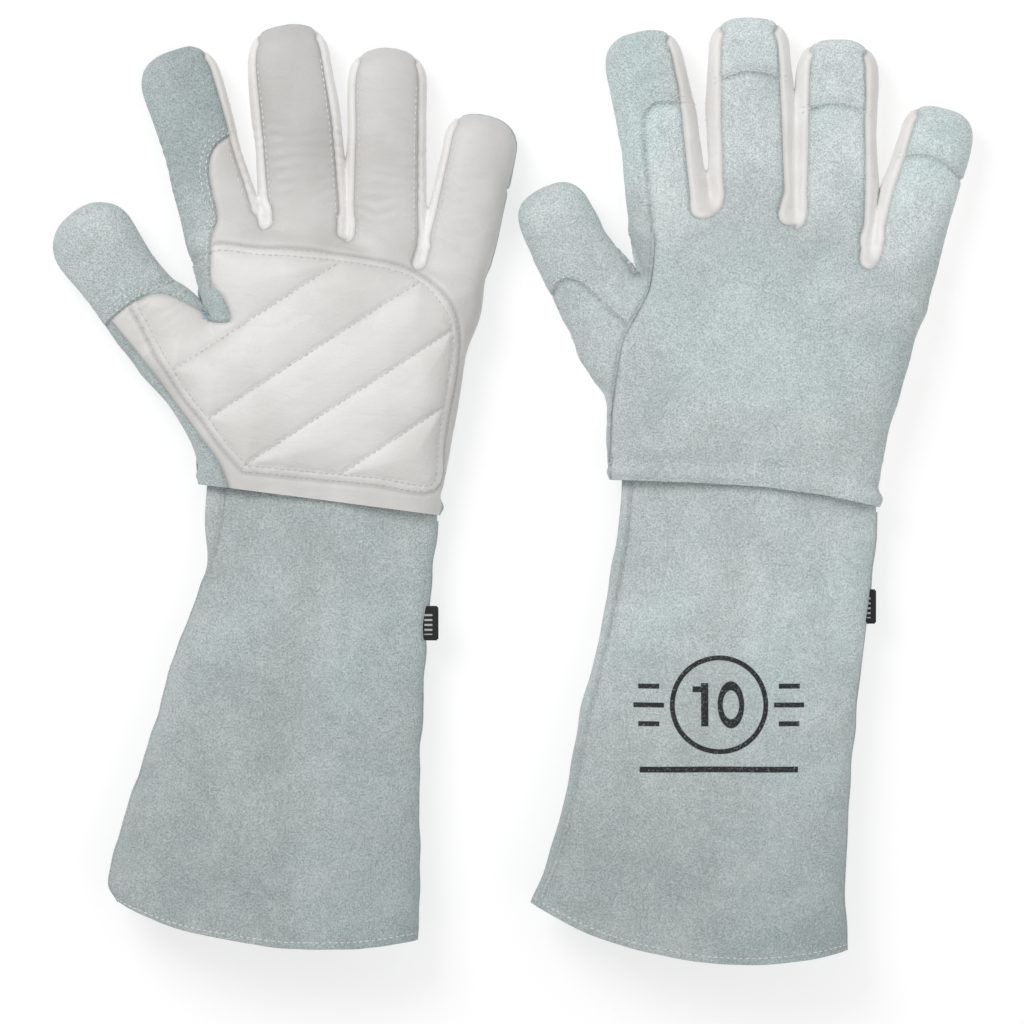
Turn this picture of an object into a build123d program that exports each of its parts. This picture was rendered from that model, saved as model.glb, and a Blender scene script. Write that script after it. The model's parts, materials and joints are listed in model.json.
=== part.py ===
"""A pair of welding gauntlets lying flat: left glove palm up, right glove back up.

Frame: millimetres, +Z up from the surface that they lie on, +Y towards the fingertips,
origin at the middle of the pair's footprint.  Each glove is modelled back up in its own
frame, whose origin is the middle of its wrist seam, and is then laid in its place.
"""
import math
import os

from build123d import *

# Leather
SKIN = 1.4                 # leather thickness
BODY_GAP = 0.8             # slack along a flex line, between two bodies
SIDE_GAP = 0.5             # slack beside a finger, in the opening that it flexes in
CELL_GAP = 0.2             # slack round a gel cell in its pocket

# Thickness of each body as it lies, measured off the surface
FINGER_DEPTH = 22.0
THUMB_DEPTH = 24.0
HAND_DEPTH = 30.0
HEM_DEPTH = 46.0

# Hand
PAD_HEIGHT = 4.0           # quilted palm patch over the palm panel
PATCH_MARGIN = 5.0         # palm edge to patch edge
PATCH_SEAM = 2.4           # stitched rim of the patch
QUILT_ANGLE = 33.0
QUILT_PITCH = 25.6
QUILT_FIRST = 5.7          # first quilting line from the wrist's middle, square to the lines
QUILT_LINES = 4
QUILT_SEAM = 2.0
LINING = 2.0               # foam lining under the back of the hand
LINING_MARGIN = 4.0

# Fingers
TIP_ROUND = 0.42           # tip radius as a share of the tip's width
CAP_LENGTH = 27.0          # suede cap over a fingertip
THUMB_CAP_LENGTH = 34.0

# Trim
WELT = 2.4                 # piping across the seam
WELT_PROUD = 1.2           # how far the piping stands out of the seam
TAB_WIDTH = 15.0
TAB_OUT = 6.0
TAB_THICK = 1.6
TAB_FROM_WRIST = 44.0

# Cuff
CUFF_CORNER = 11.0         # rounding of the cuff's tube at its sides
HEM_SAG = 14.0             # how far the hem's middle bows below its ends

FINGERS = ("index", "middle", "ring", "little")
DIGITS = FINGERS + ("thumb",)

# Which piece closes each side of a digit, thumb side first
SIDES = {
    "index": ("cap", "fourchette"),
    "middle": ("fourchettes", "fourchettes"),
    "ring": ("fourchettes", "fourchettes"),
    "little": ("fourchette", "back"),
    "thumb": ("back", "back"),
}

# Each glove.  Lean is anticlockwise from +Y, and steps are from one finger's opening to the
# next one's: across, then down.  Places are from the middle of the wrist seam.
GLOVES = {
    "left": {
        "palm_up": True,
        "place": (-80.8, -5.5),
        "wrist_half": 51.0,
        "wrist_turn": -6.0,
        "knuckle_start": (-58.5, 115.0),
        "lean": {"index": 13.8, "middle": 4.5, "ring": -2.0, "little": -15.0, "thumb": 40.0},
        "width": {"index": 32.0, "middle": 33.4, "ring": 33.4, "little": 29.0, "thumb": 36.0},
        "tip_width": {"index": 30.6, "middle": 32.0, "ring": 32.0, "little": 27.6, "thumb": 32.0},
        "length": {"index": 77.5, "middle": 90.0, "ring": 86.5, "little": 66.0, "thumb": 73.0},
        "steps": ((2.2, 6.0), (1.4, 8.5), (1.6, 2.0)),
        "thumb_base": (-61.5, 68.0),
        "heel": (66.0, 79.0),
        "hem": ((-88.0, -166.0), (40.5, -187.0)),
    },
    "right": {
        "palm_up": False,
        "place": (100.8, 0.0),
        "wrist_half": 59.5,
        "wrist_turn": -7.9,
        "knuckle_start": (-48.0, 111.0),
        "lean": {"index": 9.7, "middle": 1.5, "ring": -3.0, "little": -16.0, "thumb": 27.0},
        "width": {"index": 33.0, "middle": 34.6, "ring": 33.4, "little": 29.0, "thumb": 36.0},
        "tip_width": {"index": 31.6, "middle": 33.4, "ring": 32.6, "little": 28.0, "thumb": 29.0},
        "length": {"index": 85.0, "middle": 90.0, "ring": 89.5, "little": 73.0, "thumb": 60.0},
        "steps": ((1.6, 3.6), (1.4, 9.5), (1.4, 11.5)),
        "thumb_base": (-61.5, 80.0),
        "heel": (74.0, 60.0),
        "hem": ((-91.0, -174.0), (44.0, -197.0)),
    },
}


def turned(length, angle):
    """The step of a given length across a digit that leans by angle."""
    return Vector(length * math.cos(math.radians(angle)), length * math.sin(math.radians(angle)))


def wrist_ends(glove):
    """Thumb-side and little-finger-side ends of the wrist seam."""
    reach = turned(glove["wrist_half"], glove["wrist_turn"])
    return reach * -1, reach


def digit_openings(glove):
    """For each digit, the thumb-side and little-finger-side corners of its opening."""
    openings = {}
    corner = Vector(*glove["knuckle_start"])
    steps = glove["steps"] + ((0.0, 0.0),)
    for name, (across, down) in zip(FINGERS, steps):
        far = corner + turned(glove["width"][name], glove["lean"][name])
        openings[name] = (corner, far)
        corner = far + Vector(across, -down)
    base = Vector(*glove["thumb_base"])
    half = turned(glove["width"]["thumb"] / 2, glove["lean"]["thumb"])
    openings["thumb"] = (base - half, base + half)
    return openings


def digit_place(glove, name):
    """Middle of a digit's opening and the turn that lays the digit along its lean."""
    near, far = digit_openings(glove)[name]
    middle = (near + far) * 0.5
    return Pos(middle.X, middle.Y, 0) * Rot(0, 0, glove["lean"][name])


def digit_depth(name):
    """How deep a finger or the thumb is, off the surface."""
    return THUMB_DEPTH if name == "thumb" else FINGER_DEPTH


def cap_length(name):
    """How far a digit's cap reaches down from its tip."""
    return THUMB_CAP_LENGTH if name == "thumb" else CAP_LENGTH


def slab(face, low, high):
    """A plan face as a plate between two heights."""
    return Pos(0, 0, low) * extrude(face, amount=high - low)


def digit_plan(glove, name, inset, start):
    """Plan of a digit along +Y: sides that taper a little and a blunt tip."""
    half_base = glove["width"][name] / 2 - SIDE_GAP - inset
    half_tip = glove["tip_width"][name] / 2 - inset
    end = glove["length"][name] - inset
    outline = Polyline((-half_base, start), (-half_tip, end), (half_tip, end), (half_base, start), close=True)
    face = make_face(outline)
    tips = face.vertices().sort_by(Axis.Y)[-2:]
    return fillet(tips, TIP_ROUND * glove["tip_width"][name] - inset)


def window(low_x, high_x, low_y, high_y):
    """A rectangle in plan."""
    middle = ((low_x + high_x) / 2, (low_y + high_y) / 2)
    return Pos(*middle, 0) * Rectangle(high_x - low_x, high_y - low_y)


def digit_pieces(glove, name):
    """Front, back, cap and side strips of one digit, in its own frame along +Y."""
    depth = digit_depth(name)
    start = BODY_GAP / 2
    plan = digit_plan(glove, name, 0, start)
    rim = plan - digit_plan(glove, name, SKIN, start - SKIN)
    length = glove["length"][name]
    seam = length - cap_length(name)
    reach = glove["width"][name]
    shaft = window(-reach, reach, 0, seam)
    tip = window(-reach, reach, seam, length + reach)
    thumb_side = window(-reach, 0, 0, seam)
    little_side = window(0, reach, 0, seam)

    solids = {
        "cap": slab(plan & tip, depth - SKIN, depth) + slab(rim & tip, SKIN, depth - SKIN),
        "back": slab(plan & shaft, depth - SKIN, depth),
    }
    for side, owner in zip((thumb_side, little_side), SIDES[name]):
        strip = slab(rim & side, SKIN, depth - SKIN)
        solids[owner] = solids[owner] + strip if owner in solids else strip
    if name == "thumb":
        solids["front"] = slab(plan & shaft, 0, SKIN)
        solids["cap"] = solids["cap"] + slab(plan & tip, 0, SKIN)
        solids["tip_patch"] = solids.pop("cap")
    else:
        solids["front"] = slab(plan, 0, SKIN)
    return {piece: digit_place(glove, name) * solid for piece, solid in solids.items()}


def hand_plan(glove):
    """Plan of the hand between the wrist seam and the digits' openings."""
    openings = digit_openings(glove)
    wrist_thumb, wrist_little = wrist_ends(glove)
    points = [wrist_thumb, openings["thumb"][0], openings["thumb"][1]]
    for name in FINGERS:
        points.extend(openings[name])
    points.extend([Vector(*glove["heel"]), wrist_little])
    return make_face(Polyline(*points, close=True))


def strip_plan(start, end, width):
    """A straight strip in plan, centred on the line from start to end."""
    along = end - start
    middle = (start + end) * 0.5
    angle = math.degrees(math.atan2(along.Y, along.X))
    return Pos(middle.X, middle.Y, 0) * Rot(0, 0, angle) * Rectangle(along.length, width)


def side_walls(glove):
    """The back panel's edges, turned down to meet the palm: both sides of the hand."""
    openings = digit_openings(glove)
    wrist_thumb, wrist_little = wrist_ends(glove)
    heel = Vector(*glove["heel"])
    runs = [
        (wrist_thumb, openings["thumb"][0]),
        (openings["thumb"][1], openings["index"][0]),
        (openings["little"][1], heel),
        (heel, wrist_little),
    ]
    reach = Pos(heel.X, heel.Y) * Circle(2 * SKIN)
    for run in runs:
        reach = reach + strip_plan(*run, 4 * SKIN)
    plan = hand_plan(glove)
    rim = plan - offset(plan, -SKIN, kind=Kind.ARC)
    return rim & reach


def web_plans(glove):
    """A U of leather in plan at each of the three finger crotches."""
    openings = digit_openings(glove)
    webs = []
    for one, other in zip(FINGERS, FINGERS[1:]):
        near = openings[one][1]
        far = openings[other][0]
        middle = (near + far) * 0.5
        lean = (glove["lean"][one] + glove["lean"][other]) / 2
        outer = (far - near).length / 2 + SKIN
        ring = Circle(outer) - Circle(outer - SKIN)
        loop = ring & window(-outer, outer, -outer, -SKIN / 2)
        webs.append(Pos(middle.X, middle.Y, 0) * Rot(0, 0, lean) * Pos(0, -outer, 0) * loop)
    return webs


def patch_plan(glove, inset):
    """The quilted patch: the hand's plan drawn in by the margin, and by inset more."""
    return offset(hand_plan(glove), -(PATCH_MARGIN + inset), kind=Kind.ARC)


def quilt_lines(glove, width):
    """Diagonal quilting seams across the patch, as strips in plan."""
    reach = 2 * (glove["wrist_half"] + glove["knuckle_start"][1])
    strips = []
    for line in range(QUILT_LINES):
        distance = QUILT_FIRST + line * QUILT_PITCH
        strips.append(Rot(0, 0, QUILT_ANGLE) * Pos(0, distance, 0) * Rectangle(reach, width))
    return strips


def gel_plan(glove, slack):
    """The patch's pockets in plan, each drawn in by slack."""
    cells = patch_plan(glove, PATCH_SEAM + slack)
    for strip in quilt_lines(glove, QUILT_SEAM + 2 * slack):
        cells = cells - strip
    return cells


def welt_plan(glove):
    """Piping along the thumb side of the hand, below and above the thumb."""
    openings = digit_openings(glove)
    wrist_thumb = wrist_ends(glove)[0]
    lower = strip_plan(wrist_thumb, openings["thumb"][0], 2 * WELT_PROUD)
    upper = strip_plan(openings["thumb"][1], openings["index"][0], 2 * WELT_PROUD)
    clear = hand_plan(glove)
    for name in ("thumb", "index"):
        half = glove["width"][name] / 2
        clear = clear + digit_place(glove, name) * window(-half, half, 0, 2 * half)
    return (lower - clear) + (upper - clear)


def hand_pieces(glove):
    """Everything that stays on the hand."""
    plan = hand_plan(glove)
    panel_top = PAD_HEIGHT + SKIN
    patch = slab(patch_plan(glove, 0), 0, PAD_HEIGHT) - slab(gel_plan(glove, 0), SKIN, PAD_HEIGHT)
    walls = side_walls(glove)
    lining_low = HAND_DEPTH - SKIN - LINING
    webs = [slab(web, panel_top, lining_low) for web in web_plans(glove)]
    lining = offset(plan, -LINING_MARGIN, kind=Kind.ARC)
    welt_low = HAND_DEPTH / 2
    return {
        "palm_patch": patch,
        "gel_pad": slab(gel_plan(glove, CELL_GAP), SKIN, PAD_HEIGHT),
        "palm_panel": slab(plan, PAD_HEIGHT, panel_top),
        "back_panel": slab(plan, HAND_DEPTH - SKIN, HAND_DEPTH) + slab(walls, panel_top, HAND_DEPTH - SKIN),
        "finger_webs": Compound(children=[solid for web in webs for solid in web.solids()]),
        "hand_lining": slab(lining, lining_low, HAND_DEPTH - SKIN),
        "side_welt": slab(welt_plan(glove), welt_low, welt_low + WELT),
    }


def cuff_section(middle, width, depth, turn, inset):
    """The cuff's tube cut square to its length, standing on the surface."""
    plane = Plane(
        origin=(middle.X, middle.Y, depth / 2),
        x_dir=tuple(turned(1, turn)),
        z_dir=tuple(turned(-1, turn + 90)),
    )
    return plane * RectangleRounded(width - 2 * inset, depth - 2 * inset, CUFF_CORNER - inset)


def hem_line(glove):
    """Both ends of the hem, the middle between them and the turn of the line."""
    near = Vector(*glove["hem"][0])
    far = Vector(*glove["hem"][1])
    turn = math.degrees(math.atan2(far.Y - near.Y, far.X - near.X))
    return near, far, (near + far) * 0.5, turn


def cuff_tube(glove, inset):
    """The flared tube of the cuff, from the wrist to past the lowest point of its hem."""
    near, far, middle, hem_turn = hem_line(glove)
    turn = glove["wrist_turn"]
    start = turned(-BODY_GAP / 2, turn + 90)
    wrist_width = 2 * glove["wrist_half"] - 2 * SIDE_GAP
    past = 1 + 1.2 * HEM_SAG / middle.length
    width = wrist_width + ((far - near).length - wrist_width) * past
    depth = HAND_DEPTH + (HEM_DEPTH - HAND_DEPTH) * past
    sections = [
        cuff_section(start, wrist_width, HAND_DEPTH, turn, inset),
        cuff_section(middle * past, width, depth, hem_turn, inset),
    ]
    return loft(sections, ruled=True)


def past_hem(glove):
    """Everything beyond the bowed lower edge of the cuff."""
    near, far, middle, turn = hem_line(glove)
    down = turned(-1, turn + 90)
    side = turned(1, turn)
    corner_near = near - side * HEM_SAG
    corner_far = far + side * HEM_SAG
    edge = ThreePointArc(near, middle + down * HEM_SAG, far)
    rest = Polyline(far, corner_far, corner_far + down * 4 * HEM_SAG, corner_near + down * 4 * HEM_SAG,
                    corner_near, near)
    return slab(make_face([edge, rest]), -1, 2 * HEM_DEPTH)


def seam_plane(glove):
    """The plane that holds both side seams of the cuff."""
    middle = hem_line(glove)[2]
    slope = (HEM_DEPTH - HAND_DEPTH) / 2 / middle.length
    downhill = middle.normalized()
    normal = Vector(-slope * downhill.X, -slope * downhill.Y, 1)
    return Plane(origin=(0, 0, HAND_DEPTH / 2), z_dir=tuple(normal.normalized()))


def seam_strip(start, end, width, depth, plane):
    """A bar along a side seam of the cuff, centred on it."""
    along = end - start
    direction = Plane(origin=(start + end) * 0.5, x_dir=tuple(along.normalized()), z_dir=tuple(plane.z_dir))
    return direction * Box(along.length, width, depth)


def cuff_pieces(glove):
    """Both leather halves of the cuff, its piped side seams and the label tab."""
    shell = cuff_tube(glove, 0) - cuff_tube(glove, SKIN) - past_hem(glove)
    plane = seam_plane(glove)
    ends = [Vector(*glove["hem"][0]), Vector(*glove["hem"][1])]
    wrist = wrist_ends(glove)
    welts = []
    for top, bottom in zip(wrist, ends):
        start = top + (bottom - top).normalized() * 2 * BODY_GAP
        lift = (HEM_DEPTH - HAND_DEPTH) / 2
        upper = Vector(start.X, start.Y, HAND_DEPTH / 2)
        lower = Vector(bottom.X, bottom.Y, HAND_DEPTH / 2 + lift)
        welts.append(seam_strip(upper, lower, 2 * WELT_PROUD, WELT, plane))
    top, bottom = wrist[1], ends[1]
    down = (bottom - top).normalized()
    anchor = top + down * TAB_FROM_WRIST + Vector(TAB_OUT / 2, 0)
    rise = HAND_DEPTH / 2 + (HEM_DEPTH - HAND_DEPTH) / 2 * TAB_FROM_WRIST / (bottom - top).length
    tab = Pos(anchor.X, anchor.Y, rise) * Box(TAB_OUT + 2 * SKIN, TAB_WIDTH, TAB_THICK)
    shell = shell - tab
    for welt in welts:
        shell = shell - welt
    welts = [welt - tab for welt in welts]
    upper = split(shell, bisect_by=plane, keep=Keep.TOP)
    lower = split(shell, bisect_by=plane, keep=Keep.BOTTOM)
    front, back = (upper, lower) if glove["palm_up"] else (lower, upper)
    return {
        "cuff_front": front,
        "cuff_back": back,
        "cuff_welts": Compound(children=[solid for welt in welts for solid in welt.solids()]),
        "label_tab": tab,
    }


def lay(glove, shape, depth):
    """Turn a piece palm up if its glove lies so, and put it where the glove lies."""
    if glove["palm_up"]:
        shape = Pos(0, 0, depth) * mirror(shape, about=Plane.XY)
    x, y = glove["place"]
    return Pos(x, y, 0) * shape


def glove_pieces(side):
    """Every piece of one glove in the pair's frame, by node name."""
    glove = GLOVES[side]
    pieces = {}
    for name, shape in hand_pieces(glove).items():
        pieces[f"{side}_{name}"] = lay(glove, shape, HAND_DEPTH)
    for digit in DIGITS:
        for name, shape in digit_pieces(glove, digit).items():
            pieces[f"{side}_{digit}_{name}"] = lay(glove, shape, digit_depth(digit))
    x, y = glove["place"]
    for name, shape in cuff_pieces(glove).items():
        pieces[f"{side}_{name}"] = Pos(x, y, 0) * shape
    return pieces


def build_pair():
    """Both gloves, moved so that the origin is the middle of their footprint."""
    pieces = glove_pieces("left") | glove_pieces("right")
    box = Compound(children=[shape for shape in pieces.values()]).bounding_box()
    shift = Pos(-box.center().X, -box.center().Y, -box.min.Z)
    return {name: Compound((shift * shape).solids()) for name, shape in pieces.items()}, shift


if __name__ == "__main__":
    os.makedirs("parts", exist_ok=True)
    nodes, _ = build_pair()
    for node, shape in nodes.items():
        export_step(shape, f"parts/{node}.step")
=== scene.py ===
"""The looks of a pair of welding gauntlets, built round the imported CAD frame.

Lengths are millimetres here and metres in Blender.  Each glove has its own plan frame: its origin is the
wrist joint, +Y runs to the fingertips and the thumb is on the -X side.  A digit has a frame of its own: its
origin is its joint, v runs to the tip and u runs across, away from the thumb.
"""
import functools
import json
import math

import bmesh
import bpy
import numpy as np
from bpy.props import EnumProperty, FloatProperty, FloatVectorProperty, PointerProperty
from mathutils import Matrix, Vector
from mathutils.bvhtree import BVHTree
from mathutils.kdtree import KDTree


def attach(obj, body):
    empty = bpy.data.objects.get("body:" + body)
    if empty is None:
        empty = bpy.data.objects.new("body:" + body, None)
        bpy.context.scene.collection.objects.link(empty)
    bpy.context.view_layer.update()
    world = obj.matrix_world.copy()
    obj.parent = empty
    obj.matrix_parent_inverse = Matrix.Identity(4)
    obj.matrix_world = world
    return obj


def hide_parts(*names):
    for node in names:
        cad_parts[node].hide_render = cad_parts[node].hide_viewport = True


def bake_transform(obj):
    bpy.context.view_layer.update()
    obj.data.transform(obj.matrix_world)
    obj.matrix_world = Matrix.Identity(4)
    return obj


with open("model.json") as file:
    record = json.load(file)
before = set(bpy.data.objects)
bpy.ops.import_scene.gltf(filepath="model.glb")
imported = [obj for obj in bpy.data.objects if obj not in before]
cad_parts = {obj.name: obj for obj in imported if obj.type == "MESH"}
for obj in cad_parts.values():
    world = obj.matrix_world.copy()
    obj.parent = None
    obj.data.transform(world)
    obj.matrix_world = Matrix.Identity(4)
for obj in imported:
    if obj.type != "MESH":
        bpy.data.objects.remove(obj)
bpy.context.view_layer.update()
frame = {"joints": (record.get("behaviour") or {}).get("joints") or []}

bl_info = {
    "name": "Welding gauntlets",
    "version": (1, 0, 0),
    "blender": (4, 5, 0),
    "location": "View3D > Sidebar > Gauntlets",
    "description": "Builds the leather, padding, stitching and studio of a pair of welding gauntlets",
    "category": "Object",
}

MM = 0.001
FINGERS = ("index", "middle", "ring", "little")
DIGITS = FINGERS + ("thumb",)
JOINTS = {joint["name"]: joint for joint in frame["joints"]}

# ---------------------------------------------------------------------------------------------------
# The two gloves.  back_up is 1 where the back of the hand is on top.  Digits: length from the joint,
# then half widths and places across of the middle line at the joint, half way and near the tip.
# ---------------------------------------------------------------------------------------------------
GLOVES = {
    "left": {
        "back_up": -1,
        "digits": {
            "index": (78.2, (16.6, 15.9, 16.2), (0.3, -1.0, -2.0)),
            "middle": (87.1, (18.4, 18.6, 17.3), (1.2, 1.0, -0.2)),
            "ring": (84.4, (16.9, 16.4, 16.3), (0.8, 0.0, -0.9)),
            "little": (62.5, (15.2, 15.2, 15.2), (-1.8, -3.0, -4.1)),
            "thumb": (72.2, (18.0, 16.8, 17.8), (-2.0, -1.2, -0.2)),
        },
        "palm": (
            (-50.0, -45.0), (-52.0, -12.0), (-53.0, 6.0), (-54.5, 22.0), (-66.0, 41.5), (-78.0, 58.0),
            (-72.0, 68.0),
            (-48.5, 74.0), (-50.5, 92.0), (-57.5, 112.0), (-40.0, 119.0), (-24.5, 117.5), (-8.0, 116.5),
            (7.3, 112.5), (24.0, 109.0), (41.0, 101.5), (55.0, 99.0), (68.0, 95.0), (68.6, 82.0),
            (62.6, 65.0), (59.4, 48.0), (55.9, 26.0), (51.8, 5.0), (49.8, -12.0), (47.0, -45.0),
        ),
        "cuff_thumb_edge": (
            (-49.5, 8.0), (-50.5, -8.0), (-49.5, -24.0), (-54.0, -42.0), (-62.5, -63.5), (-69.0, -85.0),
            (-75.5, -106.0), (-81.8, -128.0), (-88.0, -149.0), (-91.5, -163.0), (-88.0, -171.0),
        ),
        "cuff_little_edge": (
            (49.5, 8.0), (49.0, -8.0), (47.2, -24.0), (45.6, -42.0), (44.3, -63.5), (43.4, -85.0),
            (41.8, -106.0), (41.0, -128.0), (41.0, -150.0), (40.6, -171.0), (40.0, -187.0),
        ),
        "hem_bow": 9.5,
        "wrist": ((-62.0, 8.8), (-39.5, 6.1), (0.0, 1.0), (49.5, -5.5), (62.0, -7.2)),
        "webs": (
            ((-24.8, 124.5), (-24.6, 120.0)), ((9.6, 119.5), (9.3, 116.0)), ((43.0, 108.5), (41.4, 102.5)),
        ),
        "cuff_seam": -1,
    },
    "right": {
        "back_up": 1,
        "digits": {
            "index": (84.0, (17.2, 16.1, 16.3), (0.3, 1.0, 0.1)),
            "middle": (89.2, (18.6, 18.4, 17.2), (0.0, 0.0, -0.2)),
            "ring": (89.2, (17.4, 17.3, 16.8), (-1.2, -2.6, -3.8)),
            "little": (77.4, (15.4, 15.4, 15.4), (-7.0, -7.6, -7.4)),
            "thumb": (55.8, (18.0, 15.6, 15.0), (-0.4, -1.8, -1.4)),
        },
        "palm": (
            (-56.5, -45.0), (-57.5, -12.0), (-58.5, 4.0), (-60.4, 21.0), (-60.5, 38.5), (-67.0, 48.0),
            (-73.5, 62.0),
            (-66.0, 80.0), (-45.0, 89.0), (-46.5, 103.0), (-48.5, 112.0), (-32.0, 119.0), (-16.5, 121.0),
            (0.0, 118.0), (18.7, 115.0), (36.0, 110.0), (53.5, 101.0), (66.0, 92.0), (77.0, 81.0),
            (73.3, 68.0), (68.9, 51.0), (64.4, 34.0), (59.7, 17.0), (57.2, 3.0), (56.4, -12.0), (54.0, -45.0),
        ),
        "cuff_thumb_edge": (
            (-53.0, 10.0), (-53.8, -6.0), (-55.6, -24.0), (-59.0, -43.0), (-62.8, -61.0), (-66.8, -79.0),
            (-71.2, -96.0), (-76.6, -123.0), (-82.5, -148.0), (-88.0, -164.0), (-93.1, -176.0),
        ),
        "cuff_little_edge": (
            (55.7, 4.0), (55.5, -12.0), (53.5, -30.0), (51.0, -50.0), (48.0, -72.0), (45.8, -96.0),
            (44.2, -122.0), (42.4, -150.0), (41.8, -172.0), (42.2, -184.0), (42.8, -197.0),
        ),
        "hem_bow": 13.5,
        "wrist": (
            (-75.0, 5.0), (-57.4, 4.1), (-18.7, 2.8), (7.1, 1.1), (32.9, -2.4), (58.7, -8.0), (75.0, -11.0),
        ),
        "webs": (
            ((-15.8, 127.0), (-19.0, 120.6)), ((19.5, 121.5), (18.0, 117.6)), ((53.8, 107.0), (52.4, 98.8)),
        ),
        "cuff_seam": 1,
    },
}

SKIN_STEP = 1.05
# Where the printed size mark is, in the right glove's frame, and the label tabs
MARK_PLACE = (-12.0, -92.0, 22.0)
LABELS = {"left": {"y": -51.8, "out": 1.2, "width": 8.6, "lift": 3.0},
          "right": {"y": -50.5, "out": -0.6, "width": 8.2, "lift": 0.5}}
# Creases near the hems: across, along, slope, width and depth
CUFF_FOLDS = {
    "left": (
        (-45.0, -128.0, 0.55, 22.0, 0.9), (-30.0, -66.0, -0.2, 26.0, 0.7), (0.0, -150.0, 0.25, 30.0, 0.6),
    ),
    "right": (
        (-48.0, -158.0, 0.45, 22.0, 1.0), (10.0, -62.0, 0.1, 30.0, 0.5), (-8.0, -176.0, 0.2, 30.0, 0.7),
    ),
}
# The camera looks straight down on the pair
CAMERA_HEIGHT = 4.0
VIEW_WIDTH = 0.4403
VIEW_MIDDLE = (-0.0027, -0.0105)

# Depths off the surface
FINGER_DEPTH = 22.0
THUMB_DEPTH = 24.0
PALM_DEPTH = 29.0
HEM_DEPTH = 43.0
WRIST_DEPTH = 20.0

# How far up its finger a piece starts
DIGIT_START = {"thumb": 5.0}
# The side strips: the angle round a finger's section that they take, the fingers' sides that have one
STRIP_ANGLE = 0.82
PALM_STRIP_ANGLE = 0.66
STRIP_SIDES = {"index": (1,), "middle": (-1, 1), "ring": (-1, 1), "little": (-1,), "thumb": ()}
WEB_REACH = 3.7
WEB_TOP = 7.0
# How far a digit melts into the hand at a crotch, and a side strip into its web
CROTCH_BLEND = 3.4
STRIP_BLEND = 4.5
# A corner further than this from its neighbours' middle is drawn back, except near the open hem
STRAY_CORNER = 0.55
HEM_KEPT = 5.0
# The underside settles onto the surface below this height
LYING_ROUND = 1.3

# Seams.  Each is a line on one side of the glove, in the frame that its name says.
# The edge of the suede that wraps the thumb's tip, the crotch and the index finger's side, palm side.
SADDLE_ON_THUMB = ((-24.0, 25.5), (-12.0, 26.2), (-2.0, 25.6), (6.0, 23.4), (11.5, 18.2), (15.2, 9.2),
                   (17.6, 1.8), (20.8, -4.6), (26.0, -7.0))
SADDLE_ON_INDEX = ((-6.2, -31.0), (-9.6, -23.6), (-8.8, -14.9), (-6.0, -4.5), (-1.2, 3.2), (-0.4, 14.2),
                   (1.2, 25.2), (6.2, 32.8), (14.4, 36.5), (24.0, 39.2))
# The same suede's edge on the back: up the welt beside the thumb, along the index finger, over its cap.
WELT_FROM_WRIST = ((2.0, -14.0), (1.2, 0.0), (0.3, 14.0), (1.0, 31.0), (3.4, 49.0), (6.2, 62.0))
WELT_ON_INDEX = ((-17.4, -29.0), (-13.0, -19.0), (-10.0, -7.0), (-8.6, 6.0), (-7.7, 23.0), (-6.6, 40.0),
                 (-4.4, 48.0))
CAP_ON_INDEX = ((0.2, 51.0), (6.0, 51.0), (13.0, 49.0), (22.0, 47.0))
PATCH_ON_THUMB = ((-24.0, 8.0), (-17.6, 12.5), (-13.0, 15.6), (-8.0, 15.4), (-4.2, 11.5), (-1.0, 3.5),
                  (2.0, -5.5), (5.0, -13.0), (8.0, -20.0))
# The quilted patch's stitched edge in the glove's frame: across, and up from the wrist joint.
PATCH_EDGE = ((-33.5, 12.5), (-43.0, 22.5), (-51.6, 34.1), (-58.0, 41.8), (-66.6, 54.7), (-71.8, 63.3),
              (-77.4, 74.1), (-82.0, 88.0), (-62.0, 100.0), (-47.3, 110.8), (-28.0, 109.5), (-10.7, 108.5),
              (10.8, 106.3), (32.3, 102.4), (43.0, 97.7), (51.6, 90.0), (57.6, 80.0), (59.6, 67.6),
              (57.6, 52.6), (53.6, 27.0), (49.0, 4.6), (22.0, 7.0), (-5.0, 9.5))
# The palm leather's edge at the thumb side, where the back's leather wraps round onto the palm.
WRAP_EDGE = ((-37.0, -20.0), (-38.5, -4.0), (-39.8, 6.0), (-45.1, 18.2), (-58.0, 35.4), (-75.2, 58.5),
             (-93.0, 80.5))
QUILT_ANGLE = math.radians(33.0)
QUILT_OFFSETS = (5.7, 31.3, 56.4, 82.0)
# How pale the leather is painted, by panel or by body: painted light and shade, paler where the glove looks
# lit and darker where it looks shaded.
PAINTED_LIGHT_TONES = {
    "left": {"palm_patch": 0.87, "palm_panel": 0.77, "thumb_front": 0.86, "middle_front": 0.65,
             "ring_front": 0.73, "little_front": 0.77, "index_front": 0.79, "index_cap": 0.84,
             "thumb_tip_patch": 1.08, "hand": 0.98, "cuff": 0.95, "cuff_hem": 0.82},
    "right": {"hand": 1.12, "index": 1.32, "middle": 1.32, "ring": 1.32, "little": 1.3, "thumb": 1.18,
              "index_cap": 1.42, "cuff": 1.11, "cuff_hem": 0.84,
              "finger_webs": 0.97, "index_fourchette": 0.97,
              "middle_fourchettes": 0.97, "ring_fourchettes": 0.97, "little_fourchette": 0.97},
}
CAP_DROP = {"middle": 24.5, "ring": 28.5, "little": 22.5}


def span(lo, hi, x):
    """0 below lo, 1 above hi, and smooth between."""
    t = np.clip((x - lo) / (hi - lo), 0.0, 1.0)
    return t * t * (3.0 - 2.0 * t)


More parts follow.
